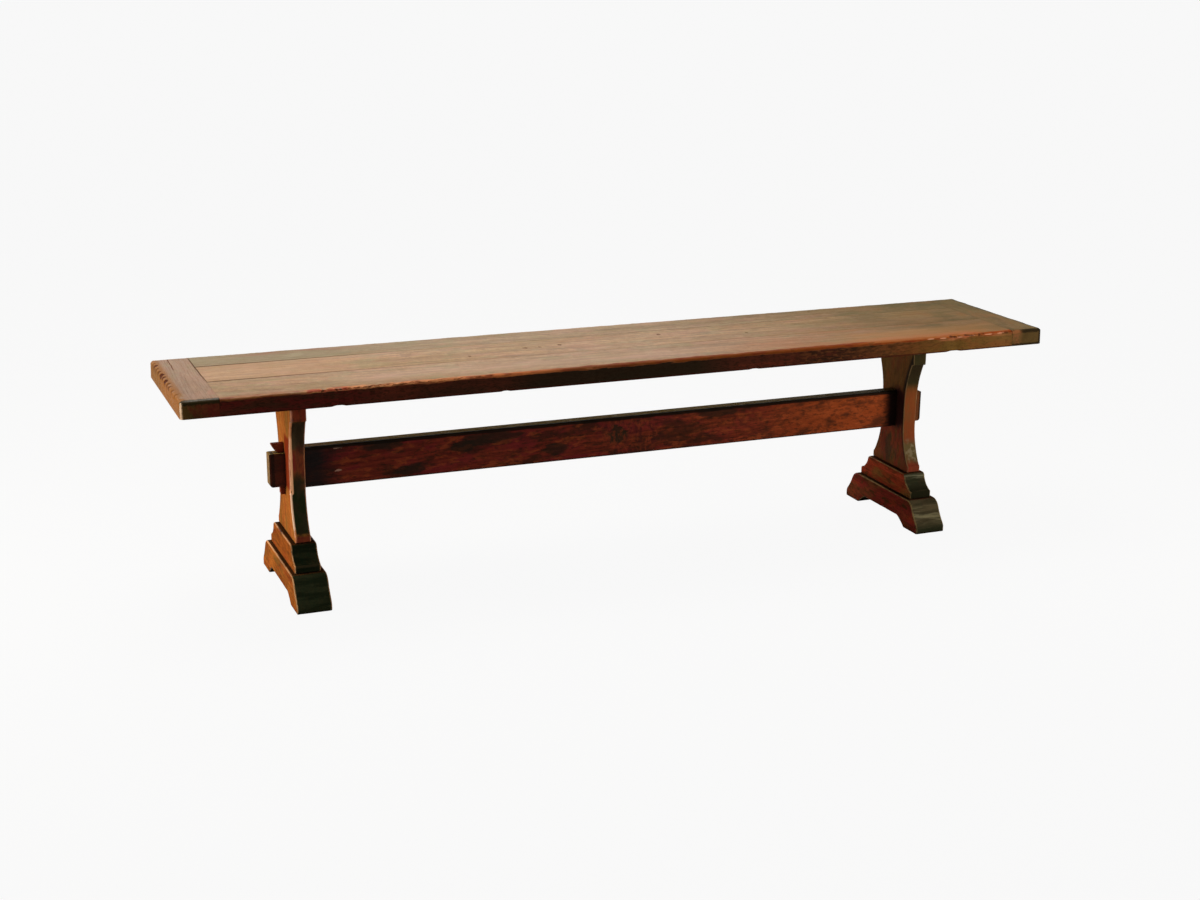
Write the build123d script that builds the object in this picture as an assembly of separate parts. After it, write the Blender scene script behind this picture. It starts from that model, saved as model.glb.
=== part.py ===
from build123d import *
import os

# A trestle bench: three planks between breadboard ends, on two waisted trestles with moulded
# stepped feet, tied by a stretcher whose through tenons are locked by loose tusk keys.
# Millimetres, Z up. X runs along the seat, the front is at -Y, the origin is on the floor
# under the middle of the bench.

# Fits
glue_gap = 0.1
groove_end_gap = 0.6
key_gap = 0.15
cut_overrun = 5.0

# Seat
seat_length = 1908.0
seat_top = 459.0
seat_thickness = 36.0
front_plank_width = 136.0
middle_plank_width = 131.0
back_plank_width = 95.0
seat_corner_radius = 5.0
seat_top_arris = 2.5
seat_lower_arris = 1.2
plank_joint_bevel = 0.7

# Breadboard ends, with a stopped tongue and one deeper pegged tenon for each plank
breadboard_width = 78.0
end_tongue_thickness = 11.0
end_tongue_length = 16.0
end_tongue_stop = 22.0
end_tenon_length = 46.0
end_tenon_width = 56.0
end_peg_radius = 4.0
end_peg_length = 25.0
end_peg_setback = 23.0

# Loose tongues between the planks
loose_tongue_thickness = 8.0
loose_tongue_width = 20.0
loose_tongue_stop = 40.0

# Bearers under the seat
bearer_height = 22.0
bearer_thickness = 56.0
bearer_setback = 41.0
bearer_end_height = 9.0
bearer_taper_length = 52.0

# Legs
leg_overhang = 248.0
leg_thickness = 33.0
leg_head_width = 158.0
leg_head_height = 31.0
leg_head_step = 7.0
leg_foot_width = 156.0
leg_foot_height = 15.5
leg_foot_step = 2.5
leg_waist_width = 97.0
leg_upper_curve_share = 0.42
leg_lower_curve_share = 0.385
leg_arris = 1.5
head_tenon_thickness = 11.0
head_tenon_width = 110.0
foot_tenon_thickness = 13.0
foot_tenon_width = 100.0
foot_tenon_depth = 28.0

# Upper foot tiers: a small round over a hollow that ends on a fillet
step_height = 51.3
step_thickness = 54.3
step_length = 225.0
step_top_length = 152.0
step_round_length = 8.5
step_round_height = 10.5
step_round_depth = 2.6
step_fillet = 3.5
step_fillet_height = 17.0
step_hollow_depth = 3.3
step_arris = 1.8

# Feet: a round over a shallow hollow and a toe, with an arch below
foot_height = 68.2
foot_thickness = 72.5
foot_length = 322.6
foot_top_length = 224.0
foot_round_length = 24.0
foot_round_height = 15.2
foot_toe_length = 5.3
foot_toe_top = 22.5
foot_toe_bottom = 13.0
foot_arris = 2.0
foot_sole_bevel = 1.2
arch_length = 206.0
arch_height = 20.5
arch_curve_length = 30.0
arch_curve_depth = 1.5

# Stretcher
stretcher_bottom = 215.5
stretcher_height = 83.7
stretcher_thickness = 30.6
stretcher_arris = 1.8
tenon_lower_shoulder = 6.2
tenon_upper_shoulder = 8.0
tenon_thickness = 26.0
tenon_projection = 32.0
tenon_toe_radius = 6.5
tenon_end_bevel = 1.5

# Tusk keys, flat against the leg and tapered outside
key_thickness = 12.0
key_width_at_tenon = 12.0
key_tip_width = 9.5
key_tip_drop = 18.3
key_head_height = 19.8
key_head_width = 25.0
key_head_cap = 2.2
key_head_curve_depth = 1.6
key_tip_corner = 2.5
key_arris = 0.6
key_slot_setback = 3.0

# Screws up through the bearers
seat_screw_head_radius = 4.0
seat_screw_radius = 2.1
seat_screw_length = 32.0
seat_screw_recess = 10.0
seat_screw_leg_margin = 5.5

# Screws up through the feet
foot_screw_head_radius = 4.8
foot_screw_radius = 2.5
foot_screw_length = 62.0
foot_screw_recess = 7.0
foot_screw_tenon_margin = 12.0

# All pegs, screws and their bores are drawn with this many sides, which keeps them light
fastener_sides = 12
screw_gap = 0.1

# Worked out from the sizes above
seat_width = front_plank_width + middle_plank_width + back_plank_width
seat_front = -seat_width / 2
seat_back = seat_width / 2
front_joint = seat_front + front_plank_width
back_joint = seat_back - back_plank_width
seat_bottom = seat_top - seat_thickness
seat_middle = seat_bottom + seat_thickness / 2
board_end = seat_length / 2 - breadboard_width
bearer_bottom = seat_bottom - bearer_height
bearer_end = seat_width / 2 - bearer_setback
leg_centre = seat_length / 2 - leg_overhang
leg_outer = leg_centre + leg_thickness / 2
leg_inner = leg_centre - leg_thickness / 2
leg_bottom = foot_height + step_height
tenon_bottom = stretcher_bottom + tenon_lower_shoulder
tenon_top = stretcher_bottom + stretcher_height - tenon_upper_shoulder
tenon_end = leg_outer + tenon_projection
plank_edges = (seat_front, front_joint, back_joint, seat_back)
sides = (("left", -1), ("right", 1))


def block(x_from, x_to, y_from, y_to, z_from, z_to):
    """A box between two corners."""
    box = Box(x_to - x_from, y_to - y_from, z_to - z_from, align=Align.MIN)
    return Pos(x_from, y_from, z_from) * box


def both_ways(half_lines):
    """Mirror one half of an outline, in the plane that looks along X, and fill it."""
    half = Curve() + half_lines
    outline = half + mirror(half, about=Plane.YZ)
    return Plane.YZ * make_face(outline)


def tongue_slot(y_joint, extra):
    """The loose tongue at one plank joint, or with an extra all round its groove."""
    half_length = board_end - loose_tongue_stop + extra
    half_width = loose_tongue_width / 2 + extra
    half_thickness = loose_tongue_thickness / 2 + extra / 2
    return block(-half_length, half_length, y_joint - half_width, y_joint + half_width,
                 seat_middle - half_thickness, seat_middle + half_thickness)


def end_tongue(y_from, y_to, extra):
    """The tongue and the deeper tenon at the right end of the boards between two places."""
    half_thickness = end_tongue_thickness / 2 + extra / 2
    y_middle = (y_from + y_to) / 2
    low = seat_middle - half_thickness
    high = seat_middle + half_thickness
    tongue = block(board_end, board_end + end_tongue_length + extra,
                   max(y_from, seat_front + end_tongue_stop) - extra,
                   min(y_to, seat_back - end_tongue_stop) + extra, low, high)
    tenon = block(board_end, board_end + end_tenon_length + extra,
                  y_middle - end_tenon_width / 2 - extra,
                  y_middle + end_tenon_width / 2 + extra, low, high)
    return tongue + tenon


def rod(radius, height):
    """A round bar that stands on the floor."""
    return extrude(RegularPolygon(radius, fastener_sides), height)


def end_pegs(extra):
    """The three blind pegs at the right end, or with an extra their holes."""
    peg = rod(end_peg_radius + extra, end_peg_length + extra)
    return [Pos(board_end + end_peg_setback, (y_from + y_to) / 2, seat_bottom) * peg
            for y_from, y_to in zip(plank_edges[:-1], plank_edges[1:])]


def wood_screw(head_radius, shank_radius, length, extra):
    """A countersunk screw that stands point up on its head, or with an extra its hole."""
    head = RegularPolygon(head_radius + extra, fastener_sides)
    shank = RegularPolygon(shank_radius + extra, fastener_sides)
    neck = Pos(0, 0, head_radius - shank_radius + extra) * shank
    shoulder = Pos(0, 0, length - shank_radius) * shank
    point = Vertex(0, 0, length + extra)
    return (loft([head, neck], ruled=True) + loft([neck, shoulder], ruled=True)
            + loft([shoulder, point], ruled=True))


def seat_screw_places():
    """Where the screws stand in one bearer, beside the leg and within each plank."""
    x_offset = leg_thickness / 2 + seat_screw_leg_margin
    stations = (-bearer_end, front_joint, back_joint, bearer_end)
    for y_from, y_to in zip(stations[:-1], stations[1:]):
        for side in (-1, 1):
            yield side * x_offset, (y_from + y_to) / 2


def seat_screws(x_centre, extra):
    """The screws of one bearer, or with an extra their holes."""
    screw = wood_screw(seat_screw_head_radius, seat_screw_radius, seat_screw_length, extra)
    base = bearer_bottom + seat_screw_recess
    return [Pos(x_centre + x, y, base) * screw for x, y in seat_screw_places()]


def foot_screws(x_centre, extra):
    """The two screws of one foot, or with an extra their holes."""
    screw = wood_screw(foot_screw_head_radius, foot_screw_radius, foot_screw_length, extra)
    y = foot_tenon_width / 2 + foot_screw_tenon_margin
    base = arch_height + foot_screw_recess
    return [Pos(x_centre, side * y, base) * screw for side in (-1, 1)]


def recess(x, y, z_from, z_to, radius):
    """The round counterbore below a screw's head."""
    return Pos(x, y, z_from) * rod(radius, z_to - z_from)


def seat_plank(y_from, y_to):
    """One plank, with its tongues at the ends and grooves for the loose tongues."""
    plank = block(-board_end, board_end, y_from, y_to, seat_bottom, seat_top)
    for y in (y_from, y_to):
        edges = plank.edges().filter_by(Axis.X).filter_by_position(Axis.Y, y, y)
        upper = edges.sort_by(Axis.Z)[-1]
        if y in (front_joint, back_joint):
            plank = chamfer(upper, plank_joint_bevel)
        else:
            lower = edges.sort_by(Axis.Z)[0]
            plank = chamfer(lower, seat_lower_arris)
            edges = plank.edges().filter_by(Axis.X).filter_by_position(Axis.Y, y, y)
            plank = fillet(edges.sort_by(Axis.Z)[-1], seat_top_arris)
    for y_joint in (front_joint, back_joint):
        plank -= tongue_slot(y_joint, glue_gap)
    tongue = end_tongue(y_from, y_to, 0)
    plank += [tongue, mirror(tongue, about=Plane.YZ)]
    holes = end_pegs(glue_gap)
    holes += [mirror(hole, about=Plane.YZ) for hole in holes]
    for side_name, side in sides:
        holes += seat_screws(side * leg_centre, screw_gap)
    return plank - holes


def breadboard_end():
    """The right breadboard end, with its groove, mortises and peg holes."""
    board = block(board_end, seat_length / 2, seat_front, seat_back, seat_bottom, seat_top)
    corners = board.edges().filter_by(Axis.Z).group_by(Axis.X)[-1]
    board = fillet(corners, seat_corner_radius)
    board = chamfer(board.edges().group_by(Axis.Z)[0].filter_by_position(
        Axis.X, board_end, seat_length, inclusive=(False, True)), seat_lower_arris)
    inner = board.faces().sort_by(Axis.X)[0].edges().sort_by(Axis.Z)[-1]
    board = chamfer(inner, plank_joint_bevel)
    rim = board.edges().group_by(Axis.Z)[-1].filter_by_position(
        Axis.X, board_end + seat_top_arris, seat_length)
    board = fillet(rim, seat_top_arris)
    for y_from, y_to in zip(plank_edges[:-1], plank_edges[1:]):
        board -= end_tongue(y_from, y_to, groove_end_gap)
    return board - end_pegs(glue_gap)


def bearer():
    """A bearer with tapered ends, a mortise for the leg and recessed screw holes."""
    body = both_ways([
        Polyline((0, bearer_bottom), (bearer_end - bearer_taper_length, bearer_bottom),
                 (bearer_end, seat_bottom - bearer_end_height), (bearer_end, seat_bottom),
                 (0, seat_bottom))])
    body = extrude(body, bearer_thickness / 2, both=True)
    half_thickness = head_tenon_thickness / 2 + glue_gap
    half_width = head_tenon_width / 2 + glue_gap
    body -= block(-half_thickness, half_thickness, -half_width, half_width,
                  bearer_bottom - cut_overrun, seat_bottom + cut_overrun)
    body -= seat_screws(0, screw_gap)
    for x, y in seat_screw_places():
        body -= recess(x, y, bearer_bottom - cut_overrun, bearer_bottom + seat_screw_recess,
                       seat_screw_head_radius + screw_gap)
    return body


def leg():
    """A waisted leg with tenons at its head and foot and a mortise for the stretcher."""
    head = leg_head_width / 2
    foot = leg_foot_width / 2
    waist = leg_waist_width / 2
    head_line = bearer_bottom - leg_head_height
    foot_line = leg_bottom + leg_foot_height
    upper_end = (waist, head_line - leg_upper_curve_share * (head_line - foot_line))
    lower_end = (waist, foot_line + leg_lower_curve_share * (head_line - foot_line))
    outline = both_ways([
        Polyline((0, bearer_bottom), (head, bearer_bottom), (head, head_line),
                 (head - leg_head_step, head_line)),
        TangentArc(upper_end, (head - leg_head_step, head_line), tangent=(0, 1)),
        Line(upper_end, lower_end),
        TangentArc(lower_end, (foot - leg_foot_step, foot_line), tangent=(0, -1)),
        Polyline((foot - leg_foot_step, foot_line), (foot, foot_line), (foot, leg_bottom),
                 (0, leg_bottom))])
    body = extrude(outline, leg_thickness / 2, both=True)
    arrises = body.faces().filter_by(Axis.X).edges().filter_by_position(
        Axis.Z, leg_bottom, bearer_bottom, inclusive=(False, False))
    body = chamfer(arrises, leg_arris)
    body += block(-head_tenon_thickness / 2, head_tenon_thickness / 2,
                  -head_tenon_width / 2, head_tenon_width / 2, bearer_bottom, seat_bottom)
    body += block(-foot_tenon_thickness / 2, foot_tenon_thickness / 2,
                  -foot_tenon_width / 2, foot_tenon_width / 2,
                  foot_height - foot_tenon_depth, leg_bottom)
    half_tenon = tenon_thickness / 2 + glue_gap
    body -= block(-leg_thickness, leg_thickness, -half_tenon, half_tenon,
                  tenon_bottom - glue_gap, tenon_top + glue_gap)
    return body


def foot_mortise():
    """The space for the leg's foot tenon."""
    half_thickness = foot_tenon_thickness / 2 + glue_gap
    half_width = foot_tenon_width / 2 + glue_gap
    return block(-half_thickness, half_thickness, -half_width, half_width,
                 foot_height - foot_tenon_depth - groove_end_gap, leg_bottom + cut_overrun)


def foot_step():
    """An upper tier: its ends fall in a small round, a hollow and a fillet."""
    top = step_top_length / 2
    end = step_length / 2
    round_end = (top + step_round_length, leg_bottom - step_round_height)
    fillet_line = foot_height + step_fillet_height
    outline = both_ways([
        Line((0, leg_bottom), (top, leg_bottom)),
        SagittaArc((top, leg_bottom), round_end, step_round_depth),
        SagittaArc(round_end, (end - step_fillet, fillet_line), -step_hollow_depth),
        Polyline((end - step_fillet, fillet_line), (end, fillet_line), (end, foot_height),
                 (0, foot_height))])
    body = extrude(outline, step_thickness / 2, both=True)
    arrises = body.faces().filter_by(Axis.X).edges().filter_by_position(
        Axis.Z, foot_height, leg_bottom, inclusive=(False, True))
    return chamfer(arrises, step_arris) - [foot_mortise()] - foot_screws(0, screw_gap)


def arch():
    """The space of the arch below a foot."""
    arch_end = arch_length / 2
    arch_top = (arch_end - arch_curve_length, arch_height)
    outline = both_ways([
        Polyline((0, -cut_overrun), (arch_end, -cut_overrun), (arch_end, 0)),
        SagittaArc((arch_end, 0), arch_top, -arch_curve_depth),
        Line(arch_top, (0, arch_height))])
    return extrude(outline, foot_thickness, both=True)


def foot():
    """A foot: its ends fall in a round, a shallow hollow and a toe, over an arch."""
    top = foot_top_length / 2
    end = foot_length / 2
    round_end = (top + foot_round_length, foot_height - foot_round_height)
    toe_start = (end - foot_toe_length, foot_toe_top)
    upper_round = TangentArc((top, foot_height), round_end, tangent=(1, 0))
    hollow = TangentArc(round_end, toe_start, tangent=upper_round % 1)
    toe = TangentArc(toe_start, (end, foot_toe_bottom), tangent=hollow % 1)
    outline = both_ways([
        Line((0, foot_height), (top, foot_height)), upper_round, hollow, toe,
        Polyline((end, foot_toe_bottom), (end, foot_sole_bevel), (end - foot_sole_bevel, 0),
                 (0, 0))])
    body = extrude(outline, foot_thickness / 2, both=True)
    arrises = body.faces().filter_by(Axis.X).edges().filter_by_position(
        Axis.Z, foot_sole_bevel, foot_height)
    body = chamfer(arrises, foot_arris)
    body -= [arch(), foot_mortise()] + foot_screws(0, screw_gap)
    for side in (-1, 1):
        y = side * (foot_tenon_width / 2 + foot_screw_tenon_margin)
        body -= recess(0, y, 0, arch_height + foot_screw_recess,
                       foot_screw_head_radius + screw_gap)
    return body


def key_face_at(z):
    """How far the key's tapered outer face stands from its flat face at a height."""
    tip = tenon_bottom - key_tip_drop
    taper = (key_width_at_tenon - key_tip_width) / (tenon_top - tip)
    return key_tip_width + taper * (z - tip)


def key():
    """The right tusk key: a flat inner face, a tapered outer face and a flared head."""
    inner = leg_outer + key_gap
    tip = tenon_bottom - key_tip_drop
    head = tenon_top + key_head_height
    flare_end = (inner + key_head_width, head - key_head_cap)
    flare_start = (inner + key_width_at_tenon, tenon_top)
    outline = Curve() + [
        Polyline(flare_start, (inner + key_tip_width, tip), (inner, tip), (inner, head),
                 (inner + key_head_width, head), flare_end),
        SagittaArc(flare_end, flare_start, key_head_curve_depth)]
    body = extrude(Plane.XZ * make_face(outline), key_thickness / 2, both=True)
    outer_tip = body.edges().filter_by(Axis.Y).sort_by(Axis.Z)[:2].sort_by(Axis.X)[-1]
    body = fillet(outer_tip, key_tip_corner)
    return chamfer(body.faces().filter_by(Axis.Y).edges(), key_arris)


def key_slot():
    """The slot through the right tenon, which starts inside the leg so that the key draws."""
    start = leg_outer - key_slot_setback
    low = tenon_bottom - cut_overrun
    high = tenon_top + cut_overrun
    clear = leg_outer + key_gap * 2
    outline = Polyline((start, low), (clear + key_face_at(low), low),
                       (clear + key_face_at(high), high), (start, high), close=True)
    return extrude(Plane.XZ * make_face(outline), key_thickness / 2 + key_gap, both=True)


def stretcher_end():
    """The right through tenon with its rounded toe and its key slot."""
    tenon = block(leg_inner, tenon_end, -tenon_thickness / 2, tenon_thickness / 2,
                  tenon_bottom, tenon_top)
    tip_edges = tenon.faces().sort_by(Axis.X)[-1].edges()
    toe = tip_edges.filter_by(Axis.Y).sort_by(Axis.Z)[0]
    tenon = fillet(toe, tenon_toe_radius)
    tip_edges = tenon.faces().sort_by(Axis.X)[-1].edges()
    tenon = chamfer(tip_edges.filter_by(Axis.Y).sort_by(Axis.Z)[-1], tenon_end_bevel)
    return tenon - [key_slot()]


def stretcher():
    """The long rail between the legs, with a shouldered tenon at each end."""
    rail = block(-leg_inner, leg_inner, -stretcher_thickness / 2, stretcher_thickness / 2,
                 stretcher_bottom, stretcher_bottom + stretcher_height)
    rail = chamfer(rail.edges().filter_by(Axis.X), stretcher_arris)
    tenon = stretcher_end()
    return rail + [tenon, mirror(tenon, about=Plane.YZ)]


def save(node, *solids):
    """Write one node's solids to its file."""
    export_step(Compound(children=list(solids)) if len(solids) > 1 else solids[0],
                f"parts/{node}.step")


os.makedirs("parts", exist_ok=True)

plank_names = ("front", "middle", "back")
for name, y_from, y_to in zip(plank_names, plank_edges[:-1], plank_edges[1:]):
    save(f"seat_plank_{name}", seat_plank(y_from, y_to))
save("seat_tongue_front", tongue_slot(front_joint, 0))
save("seat_tongue_back", tongue_slot(back_joint, 0))

right_board = breadboard_end()
save("breadboard_end_right", right_board)
save("breadboard_end_left", mirror(right_board, about=Plane.YZ))
right_pegs = end_pegs(0)
save("breadboard_pegs", *right_pegs, *[mirror(peg, about=Plane.YZ) for peg in right_pegs])

one_bearer = bearer()
one_leg = leg()
one_step = foot_step()
one_foot = foot()
for side_name, side in sides:
    place = Pos(side * leg_centre, 0, 0)
    save(f"bearer_{side_name}", place * one_bearer)
    save(f"leg_{side_name}", place * one_leg)
    save(f"foot_step_{side_name}", place * one_step)
    save(f"foot_{side_name}", place * one_foot)
save("seat_screws", *seat_screws(-leg_centre, 0), *seat_screws(leg_centre, 0))
save("foot_screws", *foot_screws(-leg_centre, 0), *foot_screws(leg_centre, 0))

save("stretcher", stretcher())
right_key = key()
save("key_right", right_key)
save("key_left", mirror(right_key, about=Plane.YZ))
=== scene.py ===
import math

import bpy
from mathutils import Matrix, Vector


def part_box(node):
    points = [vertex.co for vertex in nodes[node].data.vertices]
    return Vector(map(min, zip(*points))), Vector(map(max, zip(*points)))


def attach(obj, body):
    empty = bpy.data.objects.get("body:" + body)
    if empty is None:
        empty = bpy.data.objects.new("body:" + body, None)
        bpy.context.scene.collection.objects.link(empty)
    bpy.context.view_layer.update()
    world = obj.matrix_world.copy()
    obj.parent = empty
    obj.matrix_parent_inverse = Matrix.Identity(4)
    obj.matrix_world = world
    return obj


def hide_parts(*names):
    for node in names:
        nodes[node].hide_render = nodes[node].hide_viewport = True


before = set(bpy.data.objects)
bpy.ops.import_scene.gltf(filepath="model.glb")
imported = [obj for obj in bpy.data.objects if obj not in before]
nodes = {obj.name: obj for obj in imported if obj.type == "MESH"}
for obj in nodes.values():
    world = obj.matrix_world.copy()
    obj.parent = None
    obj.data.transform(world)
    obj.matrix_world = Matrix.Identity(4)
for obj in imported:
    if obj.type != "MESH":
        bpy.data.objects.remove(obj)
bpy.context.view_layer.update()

# Camera, solved from the straight edges of the bench
camera_place = (-1.452, -3.5167, 1.3195)
camera_yaw = math.radians(21.95)
camera_pitch = math.radians(16.09)
camera_roll = math.radians(0.465)
camera_lens = 54.82

# Places on the bench, in metres
board_low, board_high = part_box("breadboard_end_right")
seat_left, seat_right = (-board_high.x, board_high.x)
seat_front, seat_back = (board_low.y, board_high.y)
seat_low, seat_top = (board_low.z, board_high.z)
joint_left, joint_right = (-board_low.x, board_low.x)
front_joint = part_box("seat_plank_middle")[0].y
back_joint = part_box("seat_plank_middle")[1].y
peg_stand_off = 0.0003
out_of_square = 0.005
left_end = seat_left + 0.003
leg_inner = -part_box("leg_left")[1].x
leg_outer = -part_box("leg_left")[0].x
leg_front = -0.0485
# The curves over and under the waist: the way they run, where they start and twice their radius
leg_curves = ((1, 0.271, 0.414), (-1, 0.2255, 0.303))
stretcher_front = -0.0153
stretcher_low = 0.2155
stretcher_top = 0.2992
tenon_start = 0.722

# Rounds of the worn seat, and how near counts as the same place, in metres
worn_round = 0.0054
lower_round = 0.0014
joint_round = 0.0007
corner_round = 0.0085
near = 0.0001


def deselect_all():
    """Leave nothing selected, so that an operator acts only on what is chosen next."""
    bpy.ops.object.select_all(action="DESELECT")


# Studio

def add_camera():
    """The camera of the reference view."""
    data = bpy.data.cameras.new("reference_camera")
    data.lens = camera_lens
    data.sensor_fit = "HORIZONTAL"
    data.sensor_width = 36
    camera = bpy.data.objects.new("reference_camera", data)
    turn = Matrix.Rotation(-camera_yaw, 4, "Z") @ Matrix.Rotation(math.pi / 2 - camera_pitch, 4,
        "X") @ Matrix.Rotation(camera_roll, 4, "Z")
    camera.matrix_world = Matrix.Translation(camera_place) @ turn
    bpy.context.scene.collection.objects.link(camera)
    bpy.context.scene.camera = camera


def add_area_lamp(name, place, target, size, power, colour):
    """A soft box that faces a point and isn't seen itself."""
    data = bpy.data.lights.new(name, "AREA")
    data.shape = "RECTANGLE"
    data.size, data.size_y = size
    data.energy = power
    data.color = colour
    lamp = bpy.data.objects.new(name, data)
    lamp.location = place
    lamp.rotation_euler = (Vector(target) - Vector(place)).to_track_quat("-Z", "Y").to_euler()
    lamp.visible_camera = False
    bpy.context.scene.collection.objects.link(lamp)


def add_lamps():
    """The soft boxes of the studio: a low key on the left, a top light and a right fill."""
    add_area_lamp("left_key", (-2.1, 0.2, 0.55), (-0.72, 0, 0.3), (1, 1), 19, (1, 0.92, 0.78))
    add_area_lamp("top_light", (-0.6, 0.7, 2.6), (-0.25, 0, 0.45), (2, 1.2), 50, (1, 0.97, 0.92))
    add_area_lamp("right_fill", (1.7, -1.1, 0.5), (0.85, -0.1, 0.34), (0.7, 0.7), 11, (1, 0.92, 0.8))


def background_rays(tree):
    """One where a camera, glossy or transmission ray looks, and nought for all others."""
    path = tree.nodes.new("ShaderNodeLightPath")
    share = path.outputs["Is Camera Ray"]
    for name in ("Is Glossy Ray", "Is Transmission Ray"):
        share = maths(tree, "MAXIMUM", share, path.outputs[name])
    return share


def add_world():
    """A dim room that shows white behind the bench."""
    world = bpy.data.worlds.new("studio")
    bpy.context.scene.world = world
    world.use_nodes = True
    tree = world.node_tree
    colour = blend(tree, background_rays(tree), (0.1, 0.1, 0.095, 1), (1, 1, 1, 1))
    tree.links.new(colour, tree.nodes["Background"].inputs["Color"])


def add_floor():
    """A pale floor that reaches the horizon and keeps a soft shadow."""
    deselect_all()
    bpy.ops.mesh.primitive_plane_add(size=120, location=(0, 0, 0))
    floor = bpy.context.object
    floor.name = "studio_floor"
    material = bpy.data.materials.new("studio_floor")
    material.use_nodes = True
    tree = material.node_tree
    shader = tree.nodes["Principled BSDF"]
    shader.inputs["Base Color"].default_value = (0.38, 0.37, 0.36, 1)
    shader.inputs["Roughness"].default_value = 0.9
    glow = shader_node(tree, "Emission", sockets={"Color": (1, 1, 1, 1)})
    share = maths(tree, "MULTIPLY", background_rays(tree), 0.93)
    mix = tree.nodes.new("ShaderNodeMixShader")
    for number, value in enumerate((share, shader.outputs[0], glow.outputs[0])):
        tree.links.new(value, mix.inputs[number])
    tree.links.new(mix.outputs[0], tree.nodes["Material Output"].inputs["Surface"])
    floor.data.materials.append(material)


# Small helpers for node trees

# The kinds of the named sockets that aren't plain numbers
socket_kinds = {"Place": "Vector", "Stretch": "Vector", "Centre": "Vector", "Half Size": "Vector",
    "Grain": "Vector", "Pale": "Color", "Middle": "Color", "Deep": "Color", "Color": "Color"}


def feed(tree, socket, value):
    """Give a socket a number or a colour, or link another socket to it."""
    if isinstance(value, bpy.types.NodeSocket):
        tree.links.new(value, socket)
    else:
        socket.default_value = value


def shader_node(tree, kind, settings=None, sockets=None):
    """Add a node with its settings and its sockets."""
    made = tree.nodes.new("ShaderNode" + kind)
    for name, value in (settings or {}).items():
        setattr(made, name, value)
    for name, value in (sockets or {}).items():
        feed(tree, made.inputs[name], value)
    return made


def maths(tree, operation, *values, clamp=False):
    """One Math node."""
    made = shader_node(tree, "Math", {"operation": operation, "use_clamp": clamp})
    for socket, value in zip(made.inputs, values):
        feed(tree, socket, value)
    return made.outputs[0]


def vector_maths(tree, operation, first, second, output="Vector"):
    """One Vector Math node."""
    made = shader_node(tree, "VectorMath", {"operation": operation})
    feed(tree, made.inputs[0], first)
    feed(tree, made.inputs[1], second)
    return made.outputs[output]


def blend(tree, share, first, second):
    """Mix two colours by a share."""
    made = shader_node(tree, "Mix", {"data_type": "RGBA"})
    for number, value in ((0, share), (6, first), (7, second)):
        feed(tree, made.inputs[number], value)
    return made.outputs[2]


def ramp(tree, value, low, high, from_value=0, to_value=1):
    """A smooth step from one value to another."""
    return shader_node(tree, "MapRange", {"interpolation_type": "SMOOTHSTEP"},
        {"Value": value, "From Min": low, "From Max": high, "To Min": from_value,
        "To Max": to_value}).outputs[0]


def cloud(tree, place, stretch, detail=3, roughness=0.5, output="Fac"):
    """A noise whose cells are stretched differently along each axis."""
    stretched = vector_maths(tree, "MULTIPLY", place, stretch)
    return shader_node(tree, "TexNoise",
        sockets={"Vector": stretched, "Scale": 1, "Detail": detail,
        "Roughness": roughness}).outputs[output]


def roughen(tree, distance, noise, amount):
    """Make a distance uneven by an amount of a noise."""
    uneven = maths(tree, "MULTIPLY", maths(tree, "SUBTRACT", noise, 0.5), amount)
    return maths(tree, "MULTIPLY_ADD", uneven, 2, distance)


def new_group(name, inputs, outputs=("Mask",)):
    """Start a node group with named sockets."""
    group = bpy.data.node_groups.new(name, "ShaderNodeTree")
    for way, names in (("INPUT", inputs), ("OUTPUT", outputs)):
        for socket_name in names:
            kind = "NodeSocket" + socket_kinds.get(socket_name, "Float")
            group.interface.new_socket(socket_name, in_out=way, socket_type=kind)
    return (group, group.nodes.new("NodeGroupInput").outputs,
        group.nodes.new("NodeGroupOutput").inputs)


def use_group(tree, group, values):
    """Place a group with its own values."""
    made = tree.nodes.new("ShaderNodeGroup")
    made.node_tree = group
    for name, value in values.items():
        feed(tree, made.inputs[name], value)
    return made.outputs


# Effects that several finishes share

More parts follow.
